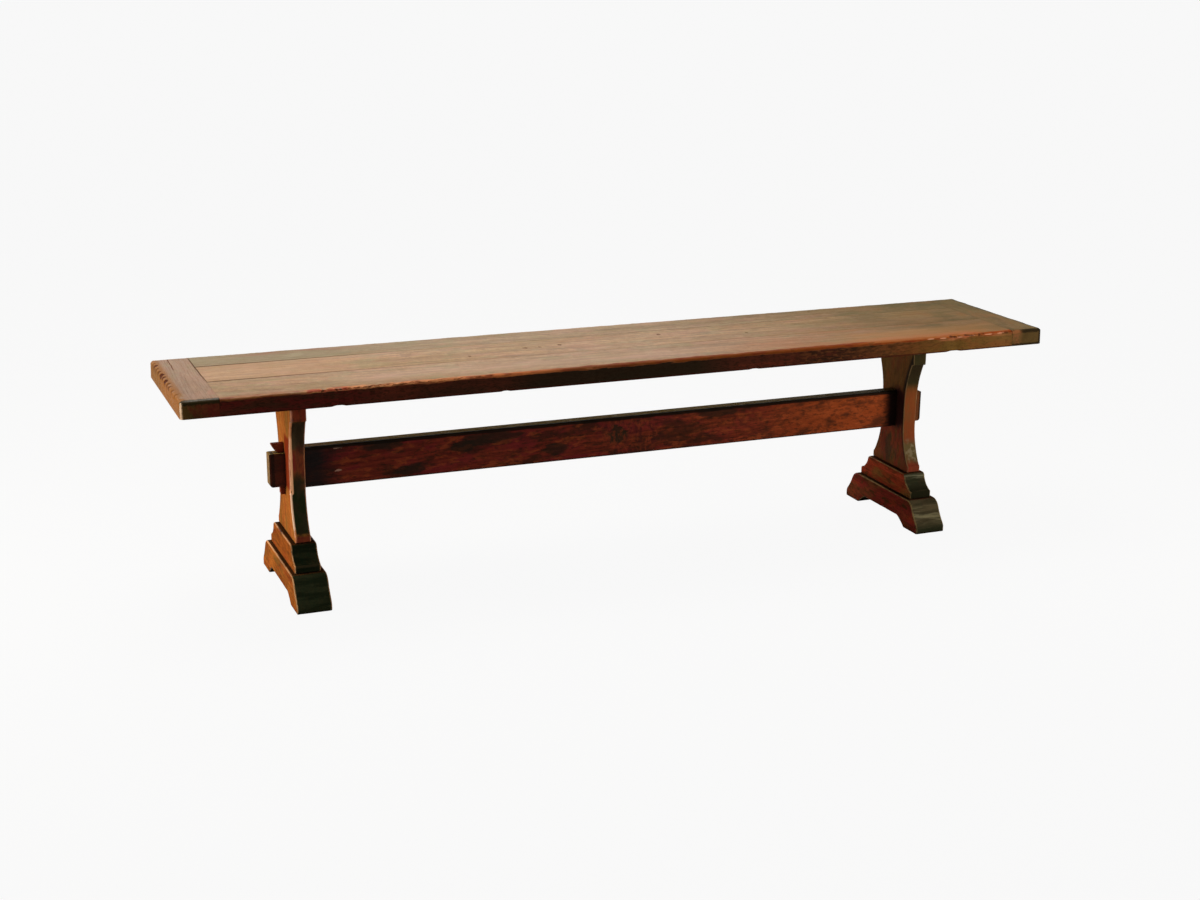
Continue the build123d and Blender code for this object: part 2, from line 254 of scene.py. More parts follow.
def oak_figure_group():
    """Rings, fibres and pores of oak, with the grain along X of the place it is given."""
    group, given, result = new_group("oak_figure", ("Place", "Pale", "Middle", "Deep", "Ring Scale",
        "Figure", "Streak", "Pores"), ("Color", "Height", "Lustre"))
    drift = cloud(group, given["Place"], (1.4, 6, 6), detail=2, output="Color")
    drift = vector_maths(group, "SUBTRACT", drift, (0.5, 0.5, 0.5))
    drift = vector_maths(group, "MULTIPLY", drift, (0, 0.05, 0.05))
    place = vector_maths(group, "ADD", given["Place"], drift)
    rings = shader_node(group, "TexWave",
        {"wave_type": "RINGS", "rings_direction": "X", "wave_profile": "SAW"},
        {"Vector": place, "Scale": given["Ring Scale"], "Distortion": 2.4, "Detail": 2,
        "Detail Scale": 0.35, "Detail Roughness": 0.6}).outputs["Fac"]
    rings = ramp(group, rings, 0.25, 1)
    broad = ramp(group, cloud(group, place, (1.6, 34, 34), roughness=0.55), 0.36, 0.66)
    fine = ramp(group, cloud(group, place, (7, 330, 330), roughness=0.65), 0.38, 0.68)
    pores = ramp(group, cloud(group, place, (36, 900, 900), detail=1), 0.6, 0.7)
    flecks = cloud(group, place, (190, 60, 60), detail=2, roughness=0.6)
    flecks = ramp(group, flecks, 0.35, 0.62, 1, 0)
    colour = blend(group, broad, given["Pale"], given["Middle"])
    for mask, share in ((flecks, 0.2), (rings, given["Figure"]), (fine, given["Streak"]),
            (pores, given["Pores"])):
        colour = blend(group, maths(group, "MULTIPLY", mask, share), colour, given["Deep"])
    height = maths(group, "MULTIPLY_ADD", fine, -0.35, 1)
    lustre = maths(group, "MULTIPLY_ADD", pores, -0.5, height, clamp=True)
    height = maths(group, "MULTIPLY_ADD", pores, -0.7, height)
    height = maths(group, "MULTIPLY_ADD", rings, -0.25, height)
    for name, value in (("Color", colour), ("Height", height), ("Lustre", lustre)):
        group.links.new(value, result[name])
    return group


def worn_line_group():
    """A ragged band round a straight arris."""
    group, given, result = new_group("worn_line", ("Place", "Rise", "Run", "Reach", "Ragged"))
    rise = maths(group, "MULTIPLY", given["Rise"], given["Rise"])
    distance = maths(group, "SQRT", maths(group, "MULTIPLY_ADD", given["Run"], given["Run"], rise))
    distance = maths(group, "DIVIDE", distance, given["Reach"])
    rub = cloud(group, given["Place"], (24, 150, 150), detail=4, roughness=0.6)
    distance = roughen(group, distance, rub, given["Ragged"])
    group.links.new(ramp(group, distance, 0.75, 1.2, 1, 0), result["Mask"])
    return group


def soil_and_shade_group():
    """Soiling and painted shade in corners and joints, where ambient occlusion finds them."""
    group, given, result = new_group("soil_and_shade", ("Place", "Reach"))
    hidden = shader_node(group, "AmbientOcclusion", {"samples": 6}, {"Distance": given["Reach"]})
    shade = maths(group, "SUBTRACT", 1, hidden.outputs["AO"])
    dust = cloud(group, given["Place"], (30, 55, 55))
    dust = maths(group, "MULTIPLY", maths(group, "SUBTRACT", dust, 0.5), 0.4)
    shade = maths(group, "ADD", shade, maths(group, "MULTIPLY", dust, shade))
    group.links.new(ramp(group, shade, 0.22, 0.75), result["Mask"])
    return group


def patina_cloud_group():
    """Large soft patches where a finish has darkened or faded."""
    group, given, result = new_group("patina_cloud", ("Place", "Stretch", "Least", "Most"))
    field = cloud(group, given["Place"], given["Stretch"], detail=4, roughness=0.6)
    group.links.new(ramp(group, field, given["Least"], given["Most"]), result["Mask"])
    return group


def mark_group():
    """A patch with a ragged edge round a place."""
    group, given, result = new_group("mark", ("Place", "Centre", "Half Size", "Ragged", "Grain"))
    offset = vector_maths(group, "SUBTRACT", given["Place"], given["Centre"])
    offset = vector_maths(group, "DIVIDE", offset, given["Half Size"])
    reach = shader_node(group, "VectorMath", {"operation": "LENGTH"})
    group.links.new(offset, reach.inputs[0])
    rough = cloud(group, given["Place"], given["Grain"])
    distance = roughen(group, reach.outputs["Value"], rough, given["Ragged"])
    group.links.new(ramp(group, distance, 0.75, 1.1, 1, 0), result["Mask"])
    return group


def split_line_group():
    """A thin line along one axis that wavers and fades out at its ends."""
    group, given, result = new_group("split_line", ("Along", "Across", "From", "To", "Fade",
        "Width", "Waver", "Waver Scale"))
    wander = shader_node(group, "TexNoise", {"noise_dimensions": "1D"},
        {"W": given["Along"], "Scale": given["Waver Scale"], "Detail": 3}).outputs["Fac"]
    wander = maths(group, "SUBTRACT", wander, 0.5)
    across = maths(group, "MULTIPLY_ADD", wander, given["Waver"], given["Across"])
    across = maths(group, "DIVIDE", maths(group, "ABSOLUTE", across), given["Width"])
    mask = ramp(group, across, 0.5, 1.3, 1, 0)
    for far, close in (("Along", "From"), ("To", "Along")):
        inside = maths(group, "SUBTRACT", given[far], given[close])
        inside = maths(group, "DIVIDE", inside, given["Fade"], clamp=True)
        mask = maths(group, "MULTIPLY", mask, inside)
    group.links.new(mask, result["Mask"])
    return group


oak_figure = oak_figure_group()
worn_line = worn_line_group()
soil_and_shade = soil_and_shade_group()
patina_cloud = patina_cloud_group()
mark = mark_group()
split_line = split_line_group()

# The turn that lays each grain direction along X, and its axis
grain_turns = {"X": (0, 0, 0), "Y": (0, 0, -math.pi / 2), "Z": (0, math.pi / 2, 0)}
grain_axes = {"X": (1, 0, 0), "Y": (0, 1, 0), "Z": (0, 0, 1)}


class OakFinish:
    """One piece's oak, built up in coats: figure, end grain, patina, wear, marks, and painted light and
    shade.

    A mask is one where a coat lies and nought where it doesn't. Where a method takes masks, it
    takes one or a tuple of them, and works where all of them are.
    """

    def __init__(self, name, grain, heart, pale, middle, deep, ring_scale=26, figure=0.45, streak=0.4,
            pores=0.5, tilt=0.02):
        self.material = bpy.data.materials.new(name)
        self.material.use_nodes = True
        self.tree = self.material.node_tree
        self.place = shader_node(self.tree, "TexCoord").outputs["Object"]
        lie = shader_node(self.tree, "Mapping", {"vector_type": "POINT"},
            {"Vector": self.place, "Rotation": grain_turns[grain]}).outputs[0]
        self.grain_place = shader_node(self.tree, "Mapping", {"vector_type": "POINT"},
            {"Vector": lie, "Location": heart, "Rotation": (0, tilt, tilt * 0.6)}).outputs[0]
        geometry = shader_node(self.tree, "NewGeometry").outputs
        self.parts, self.normal = (shader_node(self.tree, "SeparateXYZ",
            sockets={"Vector": vector}).outputs for vector in (self.place, geometry["Normal"]))
        figured = use_group(self.tree, oak_figure,
            {"Place": self.grain_place, "Pale": (*pale, 1), "Middle": (*middle, 1), "Deep": (*deep, 1),
            "Ring Scale": ring_scale, "Figure": figure, "Streak": streak, "Pores": pores})
        self.colour, self.height, self.lustre = (figured[name] for name in ("Color", "Height", "Lustre"))
        self.roughness = maths(self.tree, "MULTIPLY_ADD", self.lustre, -0.16, 0.62)
        self.coat = 0
        self.scars = []
        along = vector_maths(self.tree, "DOT_PRODUCT", geometry["Normal"], grain_axes[grain],
            output="Value")
        self.end_grain = ramp(self.tree, maths(self.tree, "ABSOLUTE", along), 0.55, 0.9)

    def both(self, *masks):
        """Where every mask is."""
        total = masks[0]
        for mask in masks[1:]:
            total = maths(self.tree, "MULTIPLY", total, mask)
        return total

    def without(self, mask):
        """Where a mask isn't."""
        return maths(self.tree, "SUBTRACT", 1, mask)

    def lay(self, masks, colour, amount):
        """Lay a colour on the masks."""
        masks = masks if isinstance(masks, tuple) else (masks,)
        self.colour = blend(self.tree, self.both(*masks, amount), self.colour, (*colour, 1))

    def patch(self, stretch, least, most, colour, amount, *masks):
        """Lay a colour in soft patches of a cloud, on the masks."""
        self.lay((self.cloud(stretch, least, most), *masks), colour, amount)

    def scar(self, masks, colour, amount, bare=1):
        """Lay a colour where a share of the polish has gone too."""
        masks = masks if isinstance(masks, tuple) else (masks,)
        self.lay(masks, colour, amount)
        self.scars.append(self.both(*masks, bare))

    def gloss(self, masks, amount):
        """Add polish on the masks."""
        masks = masks if isinstance(masks, tuple) else (masks,)
        self.coat = maths(self.tree, "MULTIPLY_ADD", self.both(*masks), amount, self.coat, clamp=True)

    def cloud(self, stretch, least, most):
        """Soft patches, in the stretch of the grain."""
        return use_group(self.tree, patina_cloud,
            {"Place": self.grain_place, "Stretch": stretch, "Least": least, "Most": most})["Mask"]

    def mark(self, centre, half_size, ragged=0.5, grain=(60, 60, 60)):
        """A ragged patch round a place."""
        return use_group(self.tree, mark,
            {"Place": self.place, "Centre": centre, "Half Size": half_size, "Ragged": ragged,
            "Grain": grain})["Mask"]

    def line(self, along, across_at, start, end, width, fade=0.03):
        """A line along one axis, at a place on the other."""
        other = {"X": "Y", "Y": "X"}[along]
        across = maths(self.tree, "SUBTRACT", self.parts[other], across_at)
        return use_group(self.tree, split_line,
            {"Along": self.parts[along], "Across": across, "From": start, "To": end, "Fade": fade,
            "Width": width, "Waver": 0.002, "Waver Scale": 18})["Mask"]

    def worn_line(self, first, first_at, second, second_at, reach, ragged, spread=1):
        """A ragged band round an arris at a place on two axes, spread along the first."""
        rise = maths(self.tree, "SUBTRACT", self.parts[first], first_at)
        return use_group(self.tree, worn_line,
            {"Place": self.grain_place, "Rise": maths(self.tree, "DIVIDE", rise, spread),
            "Run": maths(self.tree, "SUBTRACT", self.parts[second], second_at), "Reach": reach,
            "Ragged": ragged})["Mask"]

    def rise(self, axis, low, high):
        """A smooth step up between two places along an axis."""
        return ramp(self.tree, self.parts[axis], low, high)

    def fall(self, axis, low, high):
        """A smooth step down between two places along an axis."""
        return ramp(self.tree, self.parts[axis], low, high, 1, 0)

    def span(self, axis, low, high, soft=0.01):
        """One between two places along an axis."""
        return self.both(self.rise(axis, low - soft, low + soft),
            self.fall(axis, high - soft, high + soft))

    def facing(self, axis, sign, low=0.5, high=0.85):
        """One on the faces that look one way."""
        return ramp(self.tree, maths(self.tree, "MULTIPLY", self.normal[axis], sign), low, high)

    def rounded(self, axis):
        """The rounded arrises between faces that look along an axis and all others."""
        size = maths(self.tree, "ABSOLUTE", self.normal[axis])
        return self.both(ramp(self.tree, size, 0.1, 0.35), ramp(self.tree, size, 0.86, 0.975, 1, 0))

    def darken_corners(self, colour, amount, reach):
        """Lay a colour in the corners as soiling and painted shade, and dull them."""
        occluded = use_group(self.tree, soil_and_shade, {"Place": self.grain_place, "Reach": reach})["Mask"]
        self.lay(occluded, colour, amount)
        self.roughness = maths(self.tree, "MULTIPLY_ADD", occluded, 0.15, self.roughness, clamp=True)

    def close(self, relief=0.0004, specular=0.012):
        """Join everything to the shader."""
        bump = shader_node(self.tree, "Bump",
            sockets={"Strength": 0.8, "Distance": relief, "Height": self.height})
        shader = self.tree.nodes["Principled BSDF"].inputs
        for name, value in (("Base Color", self.colour), ("Roughness", self.roughness),
                ("Coat Weight", self.coat), ("Normal", bump.outputs[0]), ("Coat Roughness", 0.34),
                ("Specular IOR Level", specular), ("Specular Tint", (1, 0.6, 0.4, 1))):
            feed(self.tree, shader[name], value)
        return self.material


# Seat boards

joint_dirt = (0.085, 0.042, 0.022)
# Colours of the soiling and painted shade in the corners of the planks and of the breadboard ends
plank_corner_tone = (0.03, 0.014, 0.007)
board_end_corner_tone = (0.03, 0.016, 0.008)
plank_figure = {"ring_scale": 20, "figure": 0.34, "streak": 0.42, "pores": 0.4}


def seat_polish_and_shade(oak, corner_tone):
    """Soiling and painted shade in the seat's joints, and polish on its top that fades towards the right end.
    """
    oak.darken_corners(corner_tone, 0.75, reach=0.005)
    worn = maths(oak.tree, "MULTIPLY_ADD", oak.cloud((1.2, 9, 9), 0.35, 0.7), -0.4, 1)
    whole = [oak.without(scar) for scar in oak.scars]
    oak.gloss((oak.facing("Z", 1), oak.fall("X", -0.05, 0.85), oak.lustre, worn, *whole), 0.55)


def front_plank_joint(oak):
    """The joint of the front and middle planks, which closes towards the right."""
    oak.scar(oak.line("X", front_joint, joint_left - 0.4, -0.4, width=0.0028, fade=0.4), joint_dirt, 0.9)


def back_plank_joint(oak):
    """The joint of the middle and back planks, which closes towards the right."""
    oak.scar(oak.line("X", back_joint, joint_left - 0.35, -0.44, width=0.003, fade=0.35), joint_dirt, 0.85)


def open_left_joint(oak, start=-0.19, fade=0.03):
    """The left breadboard's joint, where it has opened."""
    oak.scar(oak.line("Y", joint_left, start, 0.19, width=0.0016, fade=fade), joint_dirt, 0.9)


def tight_left_joint(oak):
    """The left breadboard's joint at the front plank, where it is nearly closed."""
    oak.scar(oak.line("Y", joint_left, -0.19, -0.03, width=0.0014), joint_dirt, 0.2, bare=0.2)


def right_joint(oak, amount=0.4):
    """The right breadboard's joint, a faint line."""
    oak.lay(oak.line("Y", joint_right, -0.19, 0.19, width=0.0012), (0.08, 0.045, 0.02), amount)


def aged_top(oak):
    """Olive, red and dark patches on the seat's top."""
    oak.patch((2.5, 18, 18), 0.48, 0.7, (0.27, 0.2, 0.075), 0.45)
    oak.patch((3.1, 30, 26), 0.52, 0.68, (0.46, 0.19, 0.08), 0.32)
    oak.patch((10, 22, 22), 0.5, 0.62, (0.52, 0.25, 0.17), 0.3)
    oak.patch((14, 27, 25), 0.52, 0.62, (0.27, 0.24, 0.095), 0.34)
    oak.patch((9, 55, 50), 0.56, 0.7, (0.16, 0.095, 0.045), 0.38)
    oak.patch((30, 150, 150), 0.5, 0.72, (0.14, 0.08, 0.035), 0.28)
    oak.patch((48, 60, 60), 0.5, 0.66, (0.56, 0.4, 0.22), 0.18)
    oak.patch((60, 90, 90), 0.52, 0.66, (0.17, 0.11, 0.05), 0.26)
    right_end = oak.rise("X", 0.3, 0.92)
    oak.lay(right_end, (0.235, 0.145, 0.048), 0.62)
    oak.patch((7, 13, 13), 0.42, 0.6, (0.095, 0.075, 0.026), 0.6, right_end)
    oak.patch((11, 17, 17), 0.52, 0.66, (0.36, 0.16, 0.055), 0.55, right_end)
    oak.patch((6, 20, 20), 0.36, 0.6, (0.5, 0.175, 0.06), 0.56, oak.span("X", 0.25, 0.72, 0.2),
        oak.fall("Y", -0.14, 0.06))
    oak.lay((oak.rise("X", 0.5, 0.95), oak.rise("Y", -0.1, 0.18)), (0.13, 0.11, 0.036), 0.45)


def edge_faces(oak, colour, amount):
    """The faces of a board that don't look up, in a darker tone."""
    side = oak.without(oak.facing("Z", 1, 0.3, 0.8))
    oak.lay(side, colour, amount)
    return side


def front_plank_finish():
    """The front plank, whose arris is rubbed to orange and chipped."""
    oak = OakFinish("front_plank_oak", "X", (0.3, 0.16, -0.52), (0.53, 0.305, 0.145), (0.4, 0.225, 0.1),
        (0.17, 0.085, 0.036), **plank_figure)
    aged_top(oak)
    oak.lay((oak.span("X", -0.62, 0.16, 0.12), oak.span("Y", -0.146, -0.094, 0.024)), (0.67, 0.42, 0.3),
        0.3)
    oak.lay((oak.span("X", 0.46, 0.87, 0.08), oak.fall("Y", -0.115, -0.07)), (0.57, 0.27, 0.09), 0.42)
    front_face_stain(oak)
    front_arris_wear(oak)
    front_arris_chips(oak)
    front_plank_joint(oak)
    tight_left_joint(oak)
    right_joint(oak)
    seat_polish_and_shade(oak, plank_corner_tone)
    return oak


def front_face_stain(oak):
    """Dark red stain on the front face, black in the middle and olive at the right end."""
    side = edge_faces(oak, (0.105, 0.022, 0.014), 0.96)
    oak.patch((7, 40, 60), 0.5, 0.66, (0.2, 0.04, 0.02), 0.6, side)
    oak.patch((5, 16, 20), 0.42, 0.66, (0.034, 0.022, 0.012), 0.7, side)
    oak.patch((9, 40, 50), 0.4, 0.58, (0.17, 0.015, 0.015), 0.65, side, oak.span("X", -0.9, -0.58, 0.06))
    oak.lay((side, oak.span("X", -0.3, 0.16, 0.07)), (0.031, 0.023, 0.013), 0.88)
    right_face = oak.rise("X", 0.42, 0.8)
    oak.lay((side, right_face), (0.31, 0.125, 0.026), 0.8)
    oak.lay((side, oak.span("X", 0.66, 0.83, 0.05)), (0.165, 0.118, 0.03), 0.5)
    oak.lay((side, oak.rise("X", 0.76, 0.875)), (0.22, 0.12, 0.038), 0.85)
    oak.patch((14, 40, 60), 0.48, 0.62, (0.16, 0.1, 0.028), 0.7, side, right_face)
    oak.patch((19, 60, 60), 0.52, 0.62, (0.3, 0.075, 0.028), 0.3, side, right_face)
    fewer = ramp(oak.tree, oak.parts["X"], 0.4, 0.75, 1, 0.45)
    oak.patch((110, 360, 360), 0.5, 0.6, (0.03, 0.015, 0.008), 0.6, side, fewer)
    oak.patch((60, 200, 200), 0.5, 0.58, (0.32, 0.11, 0.036), 0.4, side, oak.span("X", 0.34, 0.64, 0.07))
    oak.patch((40, 130, 150), 0.52, 0.62, (0.03, 0.016, 0.009), 0.45, side, oak.span("X", 0.26, 0.6, 0.07))
    oak.lay(oak.worn_line("Y", seat_front, "Z", seat_low, 0.0036, 0.4), (0.07, 0.014, 0.008), 0.8)


def front_arris_wear(oak):
    """The front arris, rubbed to orange, glazed with old stain and splintered at its right."""
    orange = worn_red(oak, seat_front, 0.0056, 2)
    oak.scar((orange, oak.span("X", -0.71, 0.84, 0.03)), (0.84, 0.33, 0.13), 0.95, bare=0.7)
    for begin, end, colour, amount in ((-0.55, -0.32, (0.52, 0.145, 0.04), 0.9),
            (-0.28, -0.15, (0.17, 0.045, 0.012), 0.85), (-0.1, 0.08, (0.25, 0.062, 0.012), 0.9),
            (0.25, 0.72, (0.46, 0.092, 0.019), 0.95)):
        oak.lay((orange, oak.rise("X", begin, end)), colour, amount)
    oak.lay((orange, oak.span("X", -0.9, -0.74, 0.02)), (0.4, 0.145, 0.045), 0.7)
    oak.patch((34, 150, 150), 0.5, 0.6, (0.2, 0.03, 0.014), 0.6, orange)
    specked = oak.both(oak.worn_line("Y", seat_front + 0.004, "Z", seat_top, 0.0045, 0.5),
        oak.cloud((60, 260, 260), 0.49, 0.56))
    oak.scar((specked, oak.span("X", -0.69, -0.3, 0.05)), (0.1, 0.028, 0.012), 0.85)
    oak.patch((9, 40, 40), 0.3, 0.5, (0.52, 0.19, 0.062), 0.7, oak.span("X", 0.5, 0.79, 0.05),
        oak.span("Y", seat_front - 0.01, seat_front + 0.034, 0.009), oak.facing("Z", 1, 0.5, 0.8))
    splintered = oak.both(worn_red(oak, seat_front, 0.009, 2), oak.cloud((16, 120, 190), 0.5, 0.57))
    oak.lay((splintered, oak.span("X", 0.69, 0.8, 0.012)), (0.62, 0.2, 0.09), 0.75)
    oak.lay((splintered, oak.span("X", 0.81, 0.9, 0.012)), (0.5, 0.19, 0.08), 0.6)
    oak.patch((40, 90, 90), 0.42, 0.52, (0.36, 0.04, 0.022), 0.8, orange,
        oak.span("X", -0.72, -0.625, 0.02))


def front_arris_chips(oak):
    """Pale flakes, dark dents and chips along the front arris."""
    for x, down, half_length in ((0.668, 0.0036, 0.009), (0.7, 0.0042, 0.01), (0.742, 0.005, 0.007),
            (0.775, 0.004, 0.01), (0.812, 0.004, 0.012), (0.846, 0.0034, 0.01)):
        oak.lay(oak.mark((x, seat_front, seat_top - down), (half_length, 0.01, 0.0013), ragged=0.8,
            grain=(80, 80, 200)), (0.9, 0.42, 0.24), 0.9)
    for x, half_length in ((0.722, 0.011), (0.758, 0.006), (0.793, 0.008)):
        oak.scar(oak.mark((x, seat_front + 0.002, seat_top), (half_length, 0.005, 0.0045), ragged=0.7,
            grain=(90, 90, 90)), (0.06, 0.022, 0.012), 0.8)
    for centre, half_length, depth in front_chips:
        oak.scar(oak.mark((centre, seat_front + 0.002, seat_top - 0.002),
            (half_length * 0.9, 0.0055, 0.0038), ragged=1.1, grain=(120, 160, 160)), (0.062, 0.024, 0.01),
            min(1, depth))


def worn_red(oak, edge_y, reach, spread=1):
    """The band along a long arris where the stain is rubbed through."""
    return oak.worn_line("Y", edge_y, "Z", seat_top, reach, 0.9, spread)


def middle_plank_finish():
    """The middle plank, the palest, with a knot and small marks."""
    oak = OakFinish("middle_plank_oak", "X", (1.7, 0.02, -0.49), (0.58, 0.345, 0.155), (0.44, 0.25, 0.11),
        (0.18, 0.09, 0.04), **plank_figure)
    aged_top(oak)
    edge_faces(oak, (0.085, 0.026, 0.012), 0.86)
    oak.lay(oak.span("X", -0.88, -0.6, 0.06), (0.45, 0.235, 0.11), 0.45)
    front_plank_joint(oak)
    back_plank_joint(oak)
    open_left_joint(oak)
    right_joint(oak)
    knot = oak.mark((-0.452, 0.047, seat_top), (0.013, 0.022, 0.01), ragged=1.6, grain=(90, 60, 60))
    oak.lay(knot, (0.22, 0.125, 0.055), 0.45)
    for x, y, size in ((-0.197, 0.024, 0.004), (-0.165, 0.022, 0.003), (-0.118, 0.026, 0.004),
            (-0.33, -0.01, 0.003), (0.12, 0.05, 0.004), (0.31, 0, 0.003)):
        oak.scar(oak.mark((x, y, seat_top), (size * 1.2, size * 1.6, 0.01), ragged=0.9,
            grain=(220, 220, 220)), (0.12, 0.055, 0.028), 0.8)
    seat_polish_and_shade(oak, plank_corner_tone)
    return oak


def back_plank_finish():
    """The back plank, greyer and greener near the left end."""
    oak = OakFinish("back_plank_oak", "X", (-0.9, -0.16, -0.5), (0.44, 0.28, 0.13), (0.33, 0.2, 0.085),
        (0.15, 0.08, 0.035), **plank_figure)
    aged_top(oak)
    edge_faces(oak, (0.085, 0.028, 0.014), 0.86)
    oak.lay((oak.fall("X", -0.75, -0.25), oak.facing("Z", 1)), (0.205, 0.152, 0.058), 0.68)
    oak.patch((12, 120, 60), 0.42, 0.58, (0.26, 0.085, 0.035), 0.75, oak.span("X", -0.78, -0.54, 0.04),
        oak.span("Y", 0.145, 0.176, 0.008))
    back_plank_joint(oak)
    open_left_joint(oak)
    right_joint(oak)
    diagonal = oak.mark((-0.664, 0.128, seat_top), (0.02, 0.02, 0.01), ragged=1.3, grain=(60, 120, 60))
    oak.lay(diagonal, (0.4, 0.31, 0.17), 0.25)
    oak.lay(worn_red(oak, seat_back, 0.006), (0.36, 0.2, 0.06), 0.7)
    oak.patch((5, 30, 60), 0.4, 0.62, (0.035, 0.018, 0.01), 0.8, oak.facing("Y", 1, 0.5, 0.9))
    seat_polish_and_shade(oak, plank_corner_tone)
    return oak


def left_board_finish():
    """The left breadboard, cracked, with a chipped outer arris."""
    oak = OakFinish("left_breadboard_oak", "Y", (0.4, 1.05, -0.5), (0.43, 0.235, 0.12),
        (0.33, 0.175, 0.085), (0.16, 0.07, 0.035), ring_scale=20, figure=0.12, streak=0.3, pores=0.35)
    aged_top(oak)
    oak.lay(oak.facing("Z", 1, 0.5, 0.9), (0.2, 0.11, 0.056), 0.45)
    edge_faces(oak, (0.21, 0.076, 0.012), 0.92)
    oak.patch((12, 60, 60), 0.4, 0.6, (0.12, 0.045, 0.012), 0.7, oak.facing("X", -1))
    oak.lay(oak.end_grain, (0.2, 0.072, 0.026), 0.9)
    oak.lay((oak.end_grain, oak.span("Z", seat_low - 0.01, seat_low + 0.012, 0.008)), (0.035, 0.02, 0.01),
        0.7)
    oak.patch((40, 60, 40), 0.45, 0.6, (0.14, 0.022, 0.014), 0.6, oak.end_grain)
    band = oak.fall("X", seat_left + 0.01, seat_left + 0.026)
    oak.scar((band, oak.cloud((26, 60, 60), 0.25, 0.5)), (0.275, 0.108, 0.024), 0.8, bare=0.7)
    oak.lay((oak.facing("X", -1, 0.5, 0.9), oak.span("Y", 0.04, 0.2, 0.05)), (0.13, 0.07, 0.014), 0.4)
    oak.patch((30, 40, 30), 0.42, 0.58, (0.108, 0.073, 0.02), 0.8, oak.end_grain,
        oak.span("X", -0.96, -0.897, 0.01))
    oak.lay((oak.end_grain, oak.span("X", -0.908, -0.86, 0.014)), (0.17, 0.022, 0.018), 0.6)
    oak.lay(oak.worn_line("Y", seat_front, "Z", seat_top, 0.0095, 0.5), (0.036, 0.03, 0.012), 0.93)
    oak.lay(oak.facing("Y", 1), (0.075, 0.03, 0.015), 0.6)
    # A painted highlight down the front left corner
    oak.lay(oak.worn_line("X", left_end, "Y", seat_front, 0.0052, 0.4), (0.86, 0.6, 0.38), 0.9)
    for centre, half_length, depth in left_chips:
        oak.scar(oak.mark((seat_left + 0.0055, centre, seat_top - 0.003),
            (0.0075, half_length * 0.8, 0.008), ragged=1, grain=(120, 90, 120)), (0.07, 0.018, 0.006),
            min(1, depth * 1.15))
    open_left_joint(oak, start=-0.04, fade=0.05)
    tight_left_joint(oak)
    crack = crack_line(oak)
    oak.scar(crack, (0.13, 0.05, 0.028), 0.8)
    oak.height = maths(oak.tree, "MULTIPLY_ADD", crack, -1.2, oak.height)
    oak.lay(oak.mark((-0.881, -0.13, seat_top), (0.009, 0.02, 0.01)), (0.42, 0.16, 0.1), 0.4)
    seat_polish_and_shade(oak, board_end_corner_tone)
    oak.gloss(oak.worn_line("X", left_end, "Y", seat_front, 0.006, 0.2), 0.7)
    return oak


def crack_line(oak):
    """The thin split that runs from the back of the left breadboard."""
    lean = maths(oak.tree, "MULTIPLY_ADD", oak.parts["Y"], 0.034, -0.9223)
    across = maths(oak.tree, "SUBTRACT", oak.parts["X"], lean)
    return use_group(oak.tree, split_line,
        {"Along": oak.parts["Y"], "Across": across, "From": 0.065, "To": 0.19, "Fade": 0.02,
        "Width": 0.0013, "Waver": 0.006, "Waver Scale": 30})["Mask"]


def out_of_square_rim(oak, reach):
    """The band along the top arris of the right end, which runs out of square."""
    lean = maths(oak.tree, "MULTIPLY_ADD", oak.parts["Y"], out_of_square / (seat_back - seat_front),
        out_of_square / 2 - seat_right)
    return use_group(oak.tree, worn_line,
        {"Place": oak.grain_place, "Reach": reach,
        "Rise": maths(oak.tree, "SUBTRACT", oak.parts["Z"], seat_top),
        "Run": maths(oak.tree, "ADD", oak.parts["X"], lean), "Ragged": 0.8})["Mask"]


def right_board_finish():
    """The right breadboard, darker and greener, with a dark outline."""
    oak = OakFinish("right_breadboard_oak", "Y", (2.4, -0.8, -0.52), (0.38, 0.225, 0.09),
        (0.28, 0.165, 0.06), (0.13, 0.065, 0.025), ring_scale=20, figure=0.28, streak=0.36, pores=0.35)
    aged_top(oak)
    edge_faces(oak, (0.13, 0.06, 0.025), 0.8)
    oak.lay(oak.end_grain, (0.118, 0.074, 0.026), 0.92)
    oak.patch((60, 30, 60), 0.45, 0.62, (0.085, 0.052, 0.018), 0.6, oak.end_grain)
    near_plank = oak.both(oak.span("X", 0.8, 0.899, 0.008), oak.cloud((60, 40, 60), 0.3, 0.52))
    oak.lay((oak.end_grain, near_plank), (0.21, 0.105, 0.038), 0.85)
    oak.patch((200, 60, 60), 0.5, 0.6, (0.4, 0.13, 0.06), 0.5, oak.end_grain, near_plank)
    oak.lay(oak.facing("Y", 1), (0.07, 0.038, 0.016), 0.75)
    front_rim = oak.worn_line("Y", seat_front, "Z", seat_top, 0.0075, 0.5)
    oak.lay((front_rim, near_plank), (0.42, 0.15, 0.06), 0.7)
    outline = (0.026, 0.017, 0.008)
    oak.lay((front_rim, oak.without(near_plank)), outline, 0.92)
    oak.lay(out_of_square_rim(oak, 0.0125), outline, 0.45)
    oak.lay(out_of_square_rim(oak, 0.0095), outline, 0.9)
    oak.lay(oak.worn_line("X", seat_right, "Y", seat_front, 0.0094, 0.4), outline, 0.92)
    oak.lay(oak.worn_line("Y", seat_front, "Z", seat_low, 0.006, 0.4), outline, 0.9)
    right_joint(oak, 0.35)
    seat_polish_and_shade(oak, board_end_corner_tone)
    return oak


# Trestles

def mottle(oak, olive, red, dark):
    """Uneven old polish: olive, red and dark patches of a few sizes."""
    oak.patch((9, 26, 26), 0.48, 0.62, (0.2, 0.135, 0.032), olive)
    oak.patch((16, 38, 38), 0.52, 0.64, (0.38, 0.055, 0.018), red)
    oak.patch((24, 70, 70), 0.52, 0.66, (0.06, 0.03, 0.011), dark)
    oak.patch((70, 120, 120), 0.54, 0.68, (0.09, 0.035, 0.012), dark)


